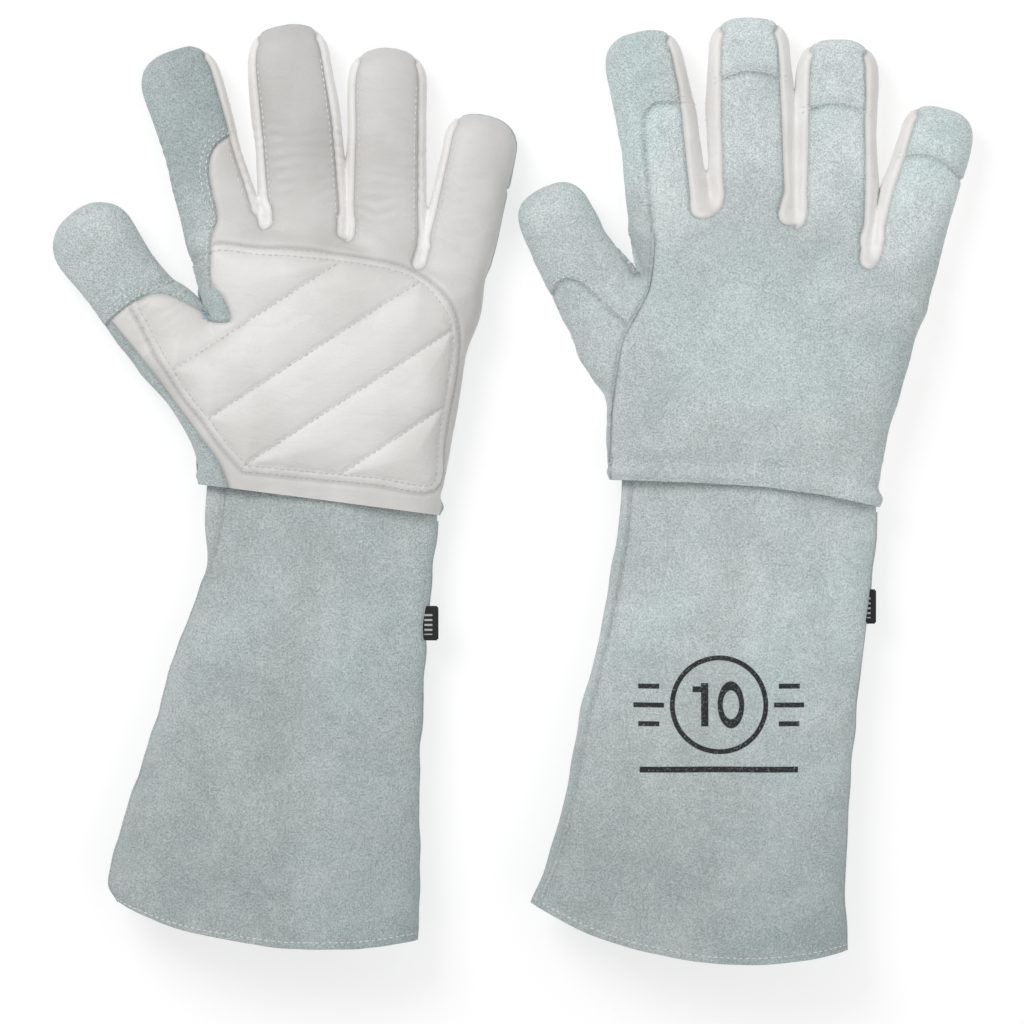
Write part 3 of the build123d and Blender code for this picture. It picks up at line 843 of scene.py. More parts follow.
class Cuff:
    """One glove's cuff: an open tube from inside the hand to the bowed hem."""

    ROUND = 260
    PER_EDGE_STEP = 15
    FLATNESS = 2.35

    def __init__(self, side):
        spec = GLOVES[side]
        self.side, self.back_up = side, spec["back_up"]
        self.origin = np.array(JOINTS[f"{side}_wrist_bend"]["pos_m"][:2]) / MM
        low = curve_through(spec["cuff_thumb_edge"], self.PER_EDGE_STEP)
        high = curve_through(spec["cuff_little_edge"], self.PER_EDGE_STEP)
        self.along = len(low)
        t = np.linspace(0, 1, self.along)
        theta = np.linspace(0, 2 * math.pi, self.ROUND, endpoint=False)
        power = 2 / self.FLATNESS
        x = np.sign(np.cos(theta)) * np.abs(np.cos(theta)) ** power
        z = np.sign(np.sin(theta)) * np.abs(np.sin(theta)) ** power
        half = (high - low) / 2
        middle = (high + low) / 2
        down = np.stack([half[:, 1], -half[:, 0]], 1) / np.linalg.norm(half, axis=1)[:, None]
        bow = spec["hem_bow"] * span(0.15, 1.0, t)
        plan = middle[:, None] + half[:, None] * x[None, :, None]
        plan = plan + down[:, None] * (bow[:, None] * (1 - np.abs(x) ** 2.2)[None])[..., None]
        depth = WRIST_DEPTH / 2 + (HEM_DEPTH - WRIST_DEPTH) / 2 * t ** 1.15
        lift = 1.6 * (1 - span(0.02, 0.2, t)) + 0.3
        height = lift[:, None] + depth[:, None] * (1 + z[None])
        self.verts = np.concatenate([plan, height[..., None]], 2).reshape(-1, 3)
        self.t = np.repeat(t, self.ROUND)
        self.x = np.tile(x, self.along)
        self.w = (np.tile(z, self.along) * np.repeat(depth, self.ROUND)) * self.back_up
        self.inset = (1 + self.x) * np.repeat(np.linalg.norm(half, axis=1), self.ROUND)
        a = np.arange(self.ROUND)
        b = (a + 1) % self.ROUND
        quads = []
        for row in range(self.along - 1):
            quads.append(np.stack([row * self.ROUND + a, row * self.ROUND + b,
                                   (row + 1) * self.ROUND + b, (row + 1) * self.ROUND + a], 1))
        quads = np.vstack(quads)[:, ::-1]
        self.tris = np.vstack([quads[:, [0, 1, 2]], quads[:, [0, 2, 3]]])
        if self.volume_sign() < 0:
            self.tris = self.tris[:, ::-1]
        self.soften()

    def volume_sign(self):
        centre = self.verts.mean(0)
        normals = corner_normals(self.verts, self.tris)
        return ((self.verts - centre) * normals * [1, 0, 1]).sum()

    def soften(self):
        """Long soft folds down the cuff and a few creases near the hem."""
        verts = self.verts
        normals = corner_normals(verts, self.tris)
        stretched = verts / np.array([1.0, 3.4, 1.0])
        free = span(0.05, 0.25, self.t)
        away = free * (0.95 * smooth_noise(stretched, 30.0, 60 + self.back_up)
                       + 0.35 * smooth_noise(verts, 16.0, 70 + self.back_up))
        for x, y, slope, width, depth in CUFF_FOLDS[self.side]:
            offset = (verts[:, 1] - y) - slope * (verts[:, 0] - x)
            near = np.exp(-((verts[:, 0] - x) / width) ** 2) * np.exp(-(offset / 5.0) ** 2)
            away -= depth * near * (verts[:, 2] > HEM_DEPTH / 3)
        moved = verts + normals * away[:, None]
        moved[:, 2] = np.maximum(moved[:, 2], 0.3 + 0.2 * self.t)
        self.flat = verts
        self.verts = moved
        self.normals = corner_normals(moved, self.tris)

    def seam_inset(self):
        """How far in plan the thumb side's seam is from the edge, on the side that shows."""
        if self.side == "left":
            return 7.5 * (1 - span(0.05, 0.3, self.t)) + 0.05
        return 3.9 * np.ones(len(self.t))

    def half_field(self):
        """Greater than 0 in the back half."""
        reach = np.sign(self.w) * np.hypot(self.inset, self.w)
        edge = np.maximum(self.inset / np.maximum(1 + self.x, 1e-6), 1)
        share = np.clip(1 - self.seam_inset() / edge, 0, 1)
        depth = WRIST_DEPTH / 2 + (HEM_DEPTH - WRIST_DEPTH) / 2 * self.t ** 1.15
        rise = depth * (1 - share ** self.FLATNESS) ** (1 / self.FLATNESS)
        seam = np.hypot(self.seam_inset(), rise) * GLOVES[self.side]["cuff_seam"]
        return np.where(self.x < 0, reach - seam, self.w)

    def ring_row(self, row):
        """The corners of one ring round the cuff, and their normals."""
        pick = slice(row * self.ROUND, (row + 1) * self.ROUND)
        return self.verts[pick], self.normals[pick]

    def seam_line(self, thumb_side):
        """The seam down one side, as points on the skin with their normals."""
        field = self.half_field().reshape(self.along, self.ROUND)
        x = self.x.reshape(self.along, self.ROUND)
        points, normals = [], []
        grid = self.verts.reshape(self.along, self.ROUND, 3)
        facing = self.normals.reshape(self.along, self.ROUND, 3)
        for row in range(self.along):
            ring = field[row]
            turned = np.roll(ring, -1)
            cross = np.where((ring <= 0) != (turned <= 0))[0]
            cross = [i for i in cross if (x[row, i] < 0) == thumb_side]
            if not cross:
                continue
            i = cross[0]
            share = ring[i] / (ring[i] - turned[i])
            j = (i + 1) % self.ROUND
            points.append(grid[row, i] * (1 - share) + grid[row, j] * share)
            normals.append(facing[row, i])
        return np.array(points), np.array(normals)


@functools.lru_cache(maxsize=None)
def cuff_shell(side):
    """The cuff of one glove, made once."""
    return Cuff(side)


# ---------------------------------------------------------------------------------------------------
# Meshes
# ---------------------------------------------------------------------------------------------------
def thick_leather(verts, tris, normals, depth, above=0.0):
    """A closed sheet of leather under a patch of skin, and which corner each of its corners came from."""
    used, local = np.unique(tris, return_inverse=True)
    local = local.reshape(-1, 3)
    outer = verts[used] + normals[used] * above
    inner = verts[used] - normals[used] * depth
    count = len(used)
    edges = np.vstack([local[:, [0, 1]], local[:, [1, 2]], local[:, [2, 0]]])
    key = edges[:, 0].astype(np.int64) * count + edges[:, 1]
    back = edges[:, 1].astype(np.int64) * count + edges[:, 0]
    a, b = edges[~np.isin(key, back)].T
    rim = np.vstack([np.stack([b, a, a + count], 1), np.stack([b, a + count, b + count], 1)])
    faces = np.vstack([local, local[:, ::-1] + count, rim])
    return np.vstack([outer, inner]), faces, np.concatenate([used, used])


def make_object(name, verts, tris, origin, material, attributes):
    """A finished mesh object in the row frame, its corners' facts kept as attributes."""
    mesh = bpy.data.meshes.new(name)
    placed = (verts + [origin[0], origin[1], 0.0]) * MM
    mesh.from_pydata(placed.tolist(), [], tris.tolist())
    for key, values in attributes.items():
        values = np.asarray(values, np.float32)
        kind = "FLOAT_VECTOR" if values.ndim == 2 else "FLOAT"
        layer = mesh.attributes.new(key, kind, "POINT")
        layer.data.foreach_set("vector" if values.ndim == 2 else "value", values.ravel())
    mesh.materials.append(material)
    mesh.shade_smooth()
    mesh.set_sharp_from_angle(angle=math.radians(48))
    obj = bpy.data.objects.new(name, mesh)
    bpy.context.scene.collection.objects.link(obj)
    return obj


def tube(points, radius, sides=8):
    """A round cord along points."""
    run = np.gradient(points, axis=0)
    run /= np.linalg.norm(run, axis=1)[:, None]
    side = np.cross(run, [0.0, 0.0, 1.0])
    side /= np.maximum(np.linalg.norm(side, axis=1), 1e-6)[:, None]
    up = np.cross(side, run)
    angle = np.linspace(0, 2 * math.pi, sides, endpoint=False)
    rings = (points[:, None] + radius * (np.cos(angle)[None, :, None] * side[:, None]
                                         + np.sin(angle)[None, :, None] * up[:, None]))
    count = len(points)
    a = np.arange(sides)
    b = (a + 1) % sides
    tris = []
    for i in range(count - 1):
        low, high = i * sides, (i + 1) * sides
        tris += [np.stack([low + a, low + b, high + b], 1), np.stack([low + a, high + b, high + a], 1)]
    verts = np.vstack([rings.reshape(-1, 3), points[:1], points[-1:]])
    last = (count - 1) * sides
    start, end = count * sides, count * sides + 1
    tris += [np.stack([np.full(sides, start), b, a], 1)]
    tris += [np.stack([np.full(sides, end), last + a, last + b], 1)]
    return verts, np.vstack(tris)


def bend_with(obj, side, name):
    """obj is parented to the hand's body when name is hand; any other obj has its placement baked into its
    mesh.
    """
    if name == "hand":
        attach(obj, f"{side}_hand")
        return
    if name == "cuff":
        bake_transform(obj)
        return
    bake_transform(obj)


# ---------------------------------------------------------------------------------------------------
# Materials
# ---------------------------------------------------------------------------------------------------
class Shader:
    """A material's node tree, written as nested calls."""

    def __init__(self, name):
        self.material = bpy.data.materials.new(name)
        self.material.use_nodes = True
        self.tree = self.material.node_tree
        self.surface = self.tree.nodes["Principled BSDF"]

    def add(self, kind, inputs=(), out=0, **settings):
        node = self.tree.nodes.new(kind)
        for key, value in settings.items():
            setattr(node, key, value)
        for key, value in dict(inputs).items():
            self.set(node.inputs[key], value)
        return node.outputs[out]

    def set(self, socket, value):
        if isinstance(value, bpy.types.NodeSocket):
            self.tree.links.new(value, socket)
        else:
            socket.default_value = value

    def finish(self, **values):
        for key, value in values.items():
            self.set(self.surface.inputs[key.replace("_", " ")], value)
        return self.material

    def place(self):
        """The point's place on the uncreased glove, in millimetres."""
        return self.add("ShaderNodeAttribute", attribute_name="rest", out="Vector")

    def fact(self, name):
        return self.add("ShaderNodeAttribute", attribute_name=name, out="Fac")

    def noise(self, size, detail=3.0, rough=0.5, warp=0.0, vector=None):
        """Noise whose largest features are about size millimetres."""
        return self.add("ShaderNodeTexNoise", {"Vector": vector or self.place(), "Scale": 1.0 / size,
                                               "Detail": detail, "Roughness": rough, "Distortion": warp})

    def math(self, operation, a, b=0.0, c=0.0, clamp=False):
        node = self.tree.nodes.new("ShaderNodeMath")
        node.operation = operation
        node.use_clamp = clamp
        for socket, value in zip(node.inputs, (a, b, c)):
            self.set(socket, value)
        return node.outputs[0]

    def step(self, value, low, high, to_low=0.0, to_high=1.0):
        """Smoothly from to_low to to_high as value goes from low to high."""
        return self.add("ShaderNodeMapRange", {"Value": value, "From Min": low, "From Max": high,
                                               "To Min": to_low, "To Max": to_high},
                        interpolation_type="SMOOTHSTEP")

    def mix(self, factor, a, b, kind="MIX"):
        node = self.tree.nodes.new("ShaderNodeMix")
        node.data_type = "RGBA"
        node.blend_type = kind
        self.set(node.inputs["Factor"], factor)
        for key, value in (("A", a), ("B", b)):
            socket = [s for s in node.inputs if s.name == key and s.type == "RGBA"][0]
            self.set(socket, tuple(value) + (1.0,) if isinstance(value, (tuple, list)) and len(value) == 3
                     else value)
        return [s for s in node.outputs if s.type == "RGBA"][0]

    def shaded(self, colour, amount):
        """The colour times a grey."""
        grey = self.add("ShaderNodeCombineColor", {"Red": amount, "Green": amount, "Blue": amount})
        return self.mix(1.0, colour, grey, "MULTIPLY")

    def with_painted_light(self, colour):
        """The colour times each piece's painted light and shade, its tone."""
        own = self.fact("tone")
        grey = self.add("ShaderNodeCombineColor", {"Red": own, "Green": own, "Blue": own})
        return self.mix(1.0, colour, grey, "MULTIPLY")

    def bump(self, height, distance, strength=1.0, normal=None):
        """Bump whose full height is distance millimetres."""
        inputs = {"Height": height, "Distance": distance * MM, "Strength": strength}
        if normal is not None:
            inputs["Normal"] = normal
        return self.add("ShaderNodeBump", inputs)


def settings():
    """The sizes and colours that the panel shows."""
    return bpy.context.scene.gauntlets


def suede(name, mark=None):
    """Split leather with a brushed nap: mottled and finely grained, with painted shade in the seams and each
    piece's painted light and shade.
    """
    own = settings()
    s = Shader(name)
    broad = s.noise(46.0, 4.0, 0.55, 0.6)
    middle = s.noise(9.0, 4.0, 0.6, 0.8)
    small = s.noise(2.3, 3.0, 0.6)
    grain = s.noise(0.72, 2.0, 0.6)
    brushed = s.add("ShaderNodeMapping", {"Vector": s.place(), "Scale": (1.0, 0.32, 1.0),
                                          "Rotation": (0.0, 0.0, 0.35)})
    strokes = s.noise(5.0, 5.0, 0.65, 1.2, brushed)
    tone = s.math("MULTIPLY_ADD", broad, 0.80, s.math("MULTIPLY_ADD", middle, 0.30, s.math(
        "MULTIPLY_ADD", strokes, 0.30, s.math("MULTIPLY_ADD", small, 0.26, s.math("MULTIPLY", grain, 0.80)))))
    colour = s.mix(s.step(tone, 0.85, 1.65), tuple(own.suede_dark), tuple(own.suede_pale))
    cool = s.step(s.noise(60.0, 2.0, 0.5, 0.3), 0.42, 0.66, 0.0, 0.55)
    colour = s.mix(cool, colour, (0.90, 0.985, 1.0), "MULTIPLY")
    speck = s.step(grain, 0.32, 0.64, 0.86, 1.07)
    colour = s.shaded(colour, speck)
    # Painted shade: darker near seams and stitched rows.
    wear_and_seam_shade = s.step(s.fact("seam"), 0.0, 2.4, 0.80, 1.0)
    colour = s.shaded(colour, wear_and_seam_shade)
    # Painted light and shade of each piece.
    colour = s.with_painted_light(colour)
    if mark:
        colour = s.mix(mark(s, grain), colour, (0.012, 0.012, 0.013))
    nap = s.math("MULTIPLY_ADD", grain, 1.0,
                 s.math("MULTIPLY_ADD", small, 0.5, s.math("MULTIPLY", strokes, 0.25)))
    normal = s.bump(nap, 1.1, 1.0)
    return s.finish(Base_Color=colour, Roughness=s.step(middle, 0.3, 0.7, 0.86, 0.98),
                    Normal=normal, Sheen_Weight=0.35, Sheen_Roughness=0.45,
                    Sheen_Tint=(0.95, 0.98, 1.0, 1.0), Specular_IOR_Level=0.18)


def grain_leather(name):
    """White dressed leather: a fine pebble grain, faint tone changes, softly creased gloss, painted shade in
    the creases and seams, and each piece's painted light and shade.
    """
    own = settings()
    s = Shader(name)
    broad = s.noise(38.0, 3.0, 0.5, 0.4)
    fine = s.noise(1.1, 3.0, 0.6)
    pebble = s.add("ShaderNodeTexVoronoi", {"Vector": s.place(), "Scale": 0.95, "Randomness": 1.0},
                   out="Distance", feature="SMOOTH_F1")
    lines = s.add("ShaderNodeMapping", {"Vector": s.place(), "Scale": (0.35, 1.0, 1.0),
                                        "Rotation": (0.0, 0.0, 0.15)})
    creases = s.noise(7.0, 4.0, 0.55, 1.4, lines)
    pale = tuple(own.leather)
    shade = tuple(c * k for c, k in zip(pale, (0.915, 0.905, 0.89)))
    colour = s.mix(s.step(broad, 0.36, 0.64), shade, pale)
    # Painted shade in the crease valleys.
    colour = s.mix(s.step(creases, 0.33, 0.45, 0.22, 0.0), colour, (0.70, 0.68, 0.66))
    # Painted shade: darker near seams and stitched rows.
    wear_and_seam_shade = s.step(s.fact("seam"), 0.0, 1.6, 0.80, 1.0)
    colour = s.shaded(colour, wear_and_seam_shade)
    # Painted light and shade of each piece.
    colour = s.with_painted_light(colour)
    height = s.math("MULTIPLY_ADD", pebble, 0.55, s.math("MULTIPLY_ADD", fine, 0.5,
                                                         s.math("MULTIPLY", creases, 1.3)))
    return s.finish(Base_Color=colour, Roughness=s.step(fine, 0.3, 0.7, 0.42, 0.58),
                    Normal=s.bump(height, 0.24, 0.8), Specular_IOR_Level=0.42, Coat_Weight=0.06,
                    Coat_Roughness=0.5)


def thread(name):
    """Twisted sewing thread, from grey to white by each stitch's shade."""
    s = Shader(name)
    colour = s.mix(s.fact("shade"), (0.30, 0.31, 0.32), (0.86, 0.86, 0.84))
    twist = s.noise(0.5, 2.0)
    colour = s.mix(s.step(twist, 0.35, 0.65, 0.0, 0.25), colour, (0.5, 0.5, 0.5))
    return s.finish(Base_Color=colour, Roughness=0.6, Normal=s.bump(twist, 0.08), Sheen_Weight=0.2,
                    Specular_IOR_Level=0.3)


def soft_fill(name, colour, cell, rough):
    """Foam or gel inside the glove."""
    s = Shader(name)
    cells = s.add("ShaderNodeTexVoronoi", {"Vector": s.place(), "Scale": 1.0 / cell}, out="Distance")
    darker = tuple(c * 0.8 for c in colour)
    return s.finish(Base_Color=s.mix(cells, colour, darker), Roughness=rough,
                    Normal=s.bump(cells, 0.2), Specular_IOR_Level=0.35)


def woven_label(name):
    """A dark woven tab with plain pale bars instead of words."""
    s = Shader(name)
    split = s.add("ShaderNodeSeparateXYZ", {"Vector": s.place()}, out="Y")
    across = s.add("ShaderNodeSeparateXYZ", {"Vector": s.place()}, out="X")
    bar = s.math("COMPARE", s.math("PINGPONG", s.math("ADD", split, 90.0), 2.1), 1.05, 0.42)
    inside = s.math("LESS_THAN", s.math("ABSOLUTE", across), 1.7)
    short = s.math("LESS_THAN", s.math("ABSOLUTE", split), 5.0)
    mask = s.math("MULTIPLY", bar, s.math("MULTIPLY", inside, short))
    weave = s.add("ShaderNodeTexWave", {"Vector": s.place(), "Scale": 1.6, "Distortion": 1.0})
    dark = s.mix(weave, (0.010, 0.010, 0.011), (0.03, 0.03, 0.032))
    return s.finish(Base_Color=s.mix(mask, dark, (0.62, 0.63, 0.63)), Roughness=0.8,
                    Normal=s.bump(weave, 0.12), Sheen_Weight=0.25, Specular_IOR_Level=0.2)


def size_mark(s, grain):
    """A printed size mark: the number 10 in a ring between plain bars."""
    place = s.add("ShaderNodeVectorMath", {0: s.place(), 1: MARK_PLACE}, operation="SUBTRACT")
    x = s.add("ShaderNodeSeparateXYZ", {"Vector": place}, out="X")
    y = s.add("ShaderNodeSeparateXYZ", {"Vector": place}, out="Y")
    z = s.add("ShaderNodeSeparateXYZ", {"Vector": place}, out="Z")

    def bar(cx, cy, half_x, half_y):
        dx = s.math("SUBTRACT", half_x, s.math("ABSOLUTE", s.math("SUBTRACT", x, cx)))
        dy = s.math("SUBTRACT", half_y, s.math("ABSOLUTE", s.math("SUBTRACT", y, cy)))
        return s.math("MINIMUM", dx, dy)

    def ring(cx, cy, radius_x, radius_y, thick):
        px = s.math("DIVIDE", s.math("SUBTRACT", x, cx), radius_x)
        py = s.math("DIVIDE", s.math("SUBTRACT", y, cy), radius_y)
        r = s.math("SQRT", s.math("ADD", s.math("MULTIPLY", px, px), s.math("MULTIPLY", py, py)))
        away = s.math("MULTIPLY", s.math("ABSOLUTE", s.math("SUBTRACT", r, 1.0)), min(radius_x, radius_y))
        return s.math("SUBTRACT", thick, away)

    shapes = [ring(0.0, 0.0, 20.0, 20.0, 1.1), ring(5.0, 0.0, 4.6, 8.1, 1.15), bar(-6.2, 0.0, 1.6, 9.3),
              bar(-9.0, 6.6, 2.4, 1.3), bar(0.0, -27.5, 34.0, 1.3)]
    for row in (-8.0, 0.0, 8.0):
        for sign in (-1, 1):
            shapes.append(bar(sign * 30.0, row, 6.5 - abs(row) / 4, 1.1))
    union = shapes[0]
    for shape in shapes[1:]:
        union = s.math("MAXIMUM", union, shape)
    solid = s.step(union, -0.12, 0.18)
    wear_and_seam_shade = s.step(grain, 0.33, 0.42, 0.55, 0.97)
    above = s.math("GREATER_THAN", z, 0.0)
    return s.math("MULTIPLY", s.math("MULTIPLY", solid, wear_and_seam_shade), above)


def make_materials():
    """Every material of the gauntlets, by what it is for."""
    return {
        "suede": suede("Brushed suede"),
        "printed": suede("Brushed suede with size mark", size_mark),
        "leather": grain_leather("White grain leather"),
        "thread": thread("Sewing thread"),
        "gel": soft_fill("Gel cells", (0.55, 0.66, 0.72), 3.0, 0.3),
        "foam": soft_fill("Foam lining", (0.72, 0.70, 0.62), 1.2, 0.9),
        "label": woven_label("Woven label"),
    }


# ---------------------------------------------------------------------------------------------------
# Pieces
# ---------------------------------------------------------------------------------------------------
# Panels whose painted light and shade is one tone from end to end
EVEN_PAINTED_TONES = ("fourchette", "fourchettes", "thumb_front", "thumb_tip_patch")
WHITE_PANELS = ("palm_panel", "palm_patch", "finger_webs", "front", "fourchette", "fourchettes")


def body_of_panel(panel):
    """The digit that a panel is on, or hand."""
    first = panel.split("_")[0]
    return first if first in DIGITS else "hand"


def build_hand(side, materials):
    """Every leather panel of the hand and digits of one glove, and what is inside the hand."""
    own = settings()
    shell = hand_shell(side)
    for panel in sorted(set(shell.panel)):
        tris = shell.tris[shell.panel == panel]
        verts, faces, source = thick_leather(shell.verts, tris, shell.normals, own.thickness / MM)
        verts[:, 2] = np.maximum(verts[:, 2], 0.0)
        facts = {"rest": shell.flat[source], "seam": shell.near_seam[source],
                 "tone": shell.tone(panel)[source]}
        white = panel.endswith(WHITE_PANELS)
        name = f"{side}_{panel}_leather"
        obj = make_object(name, verts, faces, shell.origin, materials["leather" if white else "suede"], facts)
        bend_with(obj, side, body_of_panel(panel))
        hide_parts(f"{side}_{panel}")
    build_fillings(side, shell, materials)
    build_side_welt(side, shell, materials)


def build_fillings(side, shell, materials):
    """The gel cells under the quilted patch and the foam behind the back panel."""
    middle = shell.flat[shell.tris].mean(1)
    rows = [shell.project(shell.tree, even(line, 1.0), row_side)[0]
            for line, row_side, _, kind in shell.rows() if kind != "plain"]
    clear = nearest(middle, np.vstack(rows)) > 3.0
    cells = (shell.panel == "palm_patch") & clear & (shell.area("patch", middle) > 4.0)
    foam = (shell.panel == "back_panel") & (shell.group == "back") & (shell.above_wrist(middle) > 13.0)
    for piece, where, deep, thick, slot_name in (("gel_pad", cells, 1.6, 2.6, "gel"),
                                                 ("hand_lining", foam, 1.6, 1.8, "lining")):
        inward = shell.verts - shell.normals * deep
        verts, faces, source = thick_leather(inward, shell.tris[where], shell.normals, thick)
        verts[:, 2] = np.maximum(verts[:, 2], 0.0)
        material = materials["gel" if piece == "gel_pad" else "foam"]
        obj = make_object(f"{side}_{piece}_filling", verts, faces, shell.origin, material,
                          {"rest": shell.flat[source]})
        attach(obj, f"{side}_hand")
        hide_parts(f"{side}_{piece}")


def build_side_welt(side, shell, materials):
    """The rolled welt that runs up the thumb side of the back."""
    line = even(shell.welt, 1.4)
    line = line[shell.above_wrist(line) > 1.0]
    line = line[shell.digits["index"].plan(line)[1] < -1.0]
    points, normals = shell.project(shell.tree, line, 1)
    verts, faces = tube(points + normals * 0.1, 0.8)
    verts[:, 2] = np.maximum(verts[:, 2], 0.0)
    # The welt's fixed seam distance gives it a little painted seam shade all over.
    obj = make_object(f"{side}_thumb_side_welt", verts, faces, shell.origin, materials["suede"],
                      {"rest": verts, "seam": np.full(len(verts), 1.6), "tone": np.ones(len(verts))})
    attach(obj, f"{side}_hand")
    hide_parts(f"{side}_side_welt")


def build_cuff(side, materials):
    """Both halves of the cuff, its side welts and its label tab."""
    own = settings()
    cuff = cuff_shell(side)
    field = cuff.half_field()
    both = np.hstack([cuff.verts, cuff.flat])
    both, tris = cut_along(both, cuff.tris, field, (cuff.x < -0.3) | (cuff.x > 0.3))
    verts, flat = both[:, :3], both[:, 3:]
    added = np.zeros(len(verts) - len(field))
    side_of = np.concatenate([field, added])[tris].mean(1)
    normals = corner_normals(verts, tris)
    lines = [cuff.seam_line(True), cuff.seam_line(False)]
    seam = nearest(verts, np.vstack([points for points, _ in lines]))
    for half, where in (("front", side_of < 0), ("back", side_of >= 0)):
        shell, faces, source = thick_leather(verts, tris[where], normals, own.thickness / MM)
        shell[:, 2] = np.maximum(shell[:, 2], 0.0)
        printed = side == "right" and half == "back"
        painted_tones = PAINTED_LIGHT_TONES[side]
        # Painted light and shade of each cuff, darker towards the hem.
        tone = painted_tones["cuff"] + (painted_tones["cuff_hem"] - painted_tones["cuff"]) * span(-40, -190, flat[:, 1])
        facts = {"rest": flat[source], "seam": seam[source], "tone": tone[source]}
        obj = make_object(f"{side}_cuff_{half}_leather", shell, faces, cuff.origin,
                          materials["printed" if printed else "suede"], facts)
        bend_with(obj, side, "cuff")
        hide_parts(f"{side}_cuff_{half}")
    parts, faces, count = [], [], 0
    for points, facing in lines:
        outside = points[:, 1] < 2.0 + np.interp(points[:, 0], *hand_shell(side).wrist.T) - 4.0
        tube_verts, tube_faces = tube(points[outside] - facing[outside] * 0.25, 0.85)
        parts.append(tube_verts)
        faces.append(tube_faces + count)
        count += len(tube_verts)
    tube_verts = np.vstack(parts)
    tube_verts[:, 2] = np.maximum(tube_verts[:, 2], 0.0)
    name = f"{side}_cuff_side_welts"
    # The welts' fixed seam distance gives them a little painted seam shade all over.
    obj = make_object(name, tube_verts, np.vstack(faces), cuff.origin, materials["suede"],
                      {"rest": tube_verts, "seam": np.full(count, 1.2), "tone": np.ones(count)})
    bend_with(obj, side, "cuff")
    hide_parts(f"{side}_cuff_welts")
    build_label(side, cuff, materials)


def build_label(side, cuff, materials):
    """The folded label tab sewn into the little-finger side seam."""
    points, _ = cuff.seam_line(False)
    spec = LABELS[side]
    middle = points[np.abs(points[:, 1] - spec["y"]).argmin()]
    mesh = bmesh.new()
    bmesh.ops.create_cube(mesh, size=1.0)
    for vert in mesh.verts:
        vert.co = Vector((vert.co.x * spec["width"], vert.co.y * 14.8, vert.co.z * 1.5))
    bmesh.ops.bevel(mesh, geom=mesh.edges[:], offset=0.55, segments=3, affect="EDGES")
    bmesh.ops.subdivide_edges(mesh, edges=[e for e in mesh.edges if e.calc_length() > 4.0], cuts=12,
                              use_grid_fill=True)
    bmesh.ops.triangulate(mesh, faces=mesh.faces[:])
    own = np.array([vert.co for vert in mesh.verts])
    faces = np.array([[vert.index for vert in face.verts] for face in mesh.faces])
    mesh.free()
    bent = own.copy()
    bent[:, 2] += spec["lift"] + 0.035 * own[:, 1] ** 1 + 0.02 * (own[:, 0] - 1.0) ** 2
    verts = bent + middle + [spec["out"], 0.0, 0.0]
    obj = make_object(f"{side}_woven_label_tab", verts, faces, cuff.origin, materials["label"], {"rest": own})
    bend_with(obj, side, "cuff")
    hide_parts(f"{side}_label_tab")


# ---------------------------------------------------------------------------------------------------
# Stitches
# ---------------------------------------------------------------------------------------------------
def stitch_group(material):
    """A node group that lays one stitch at each point, along its tangent and out along its normal."""
    own = settings()
    tree = bpy.data.node_groups.new("Stitches", "GeometryNodeTree")
    tree.interface.new_socket("Geometry", in_out="INPUT", socket_type="NodeSocketGeometry")
    for name, default in (("Length", own.stitch_length), ("Thickness", own.stitch_thickness)):
        socket = tree.interface.new_socket(name, in_out="INPUT", socket_type="NodeSocketFloat")
        socket.default_value = default
        socket.subtype = "DISTANCE"
    tree.interface.new_socket("Geometry", in_out="OUTPUT", socket_type="NodeSocketGeometry")
    nodes, links = tree.nodes, tree.links
    start, end = nodes.new("NodeGroupInput"), nodes.new("NodeGroupOutput")
    points = nodes.new("GeometryNodeMeshToPoints")
    ball = nodes.new("GeometryNodeMeshUVSphere")
    ball.inputs["Segments"].default_value = 7
    ball.inputs["Rings"].default_value = 5
    ball.inputs["Radius"].default_value = 0.5
    size = nodes.new("ShaderNodeCombineXYZ")
    links.new(start.outputs["Length"], size.inputs["X"])
    links.new(start.outputs["Thickness"], size.inputs["Y"])
    links.new(start.outputs["Thickness"], size.inputs["Z"])
    turns = []
    for name, axis, pivot in (("run", "X", "AUTO"), ("facing", "Z", "X")):
        read = nodes.new("GeometryNodeInputNamedAttribute")
        read.data_type = "FLOAT_VECTOR"
        read.inputs["Name"].default_value = name
        turn = nodes.new("FunctionNodeAlignRotationToVector")
        turn.axis, turn.pivot_axis = axis, pivot
        links.new(read.outputs["Attribute"], turn.inputs["Vector"])
        if turns:
            links.new(turns[-1].outputs[0], turn.inputs["Rotation"])
        turns.append(turn)
    place = nodes.new("GeometryNodeInstanceOnPoints")
    real = nodes.new("GeometryNodeRealizeInstances")
    paint = nodes.new("GeometryNodeSetMaterial")
    paint.inputs["Material"].default_value = material
    links.new(start.outputs["Geometry"], points.inputs["Mesh"])
    links.new(points.outputs[0], place.inputs["Points"])
    links.new(ball.outputs["Mesh"], place.inputs["Instance"])
    links.new(turns[-1].outputs[0], place.inputs["Rotation"])
    links.new(size.outputs[0], place.inputs["Scale"])
    links.new(place.outputs[0], real.inputs[0])
    links.new(real.outputs[0], paint.inputs["Geometry"])
    links.new(paint.outputs[0], end.inputs[0])
    return tree


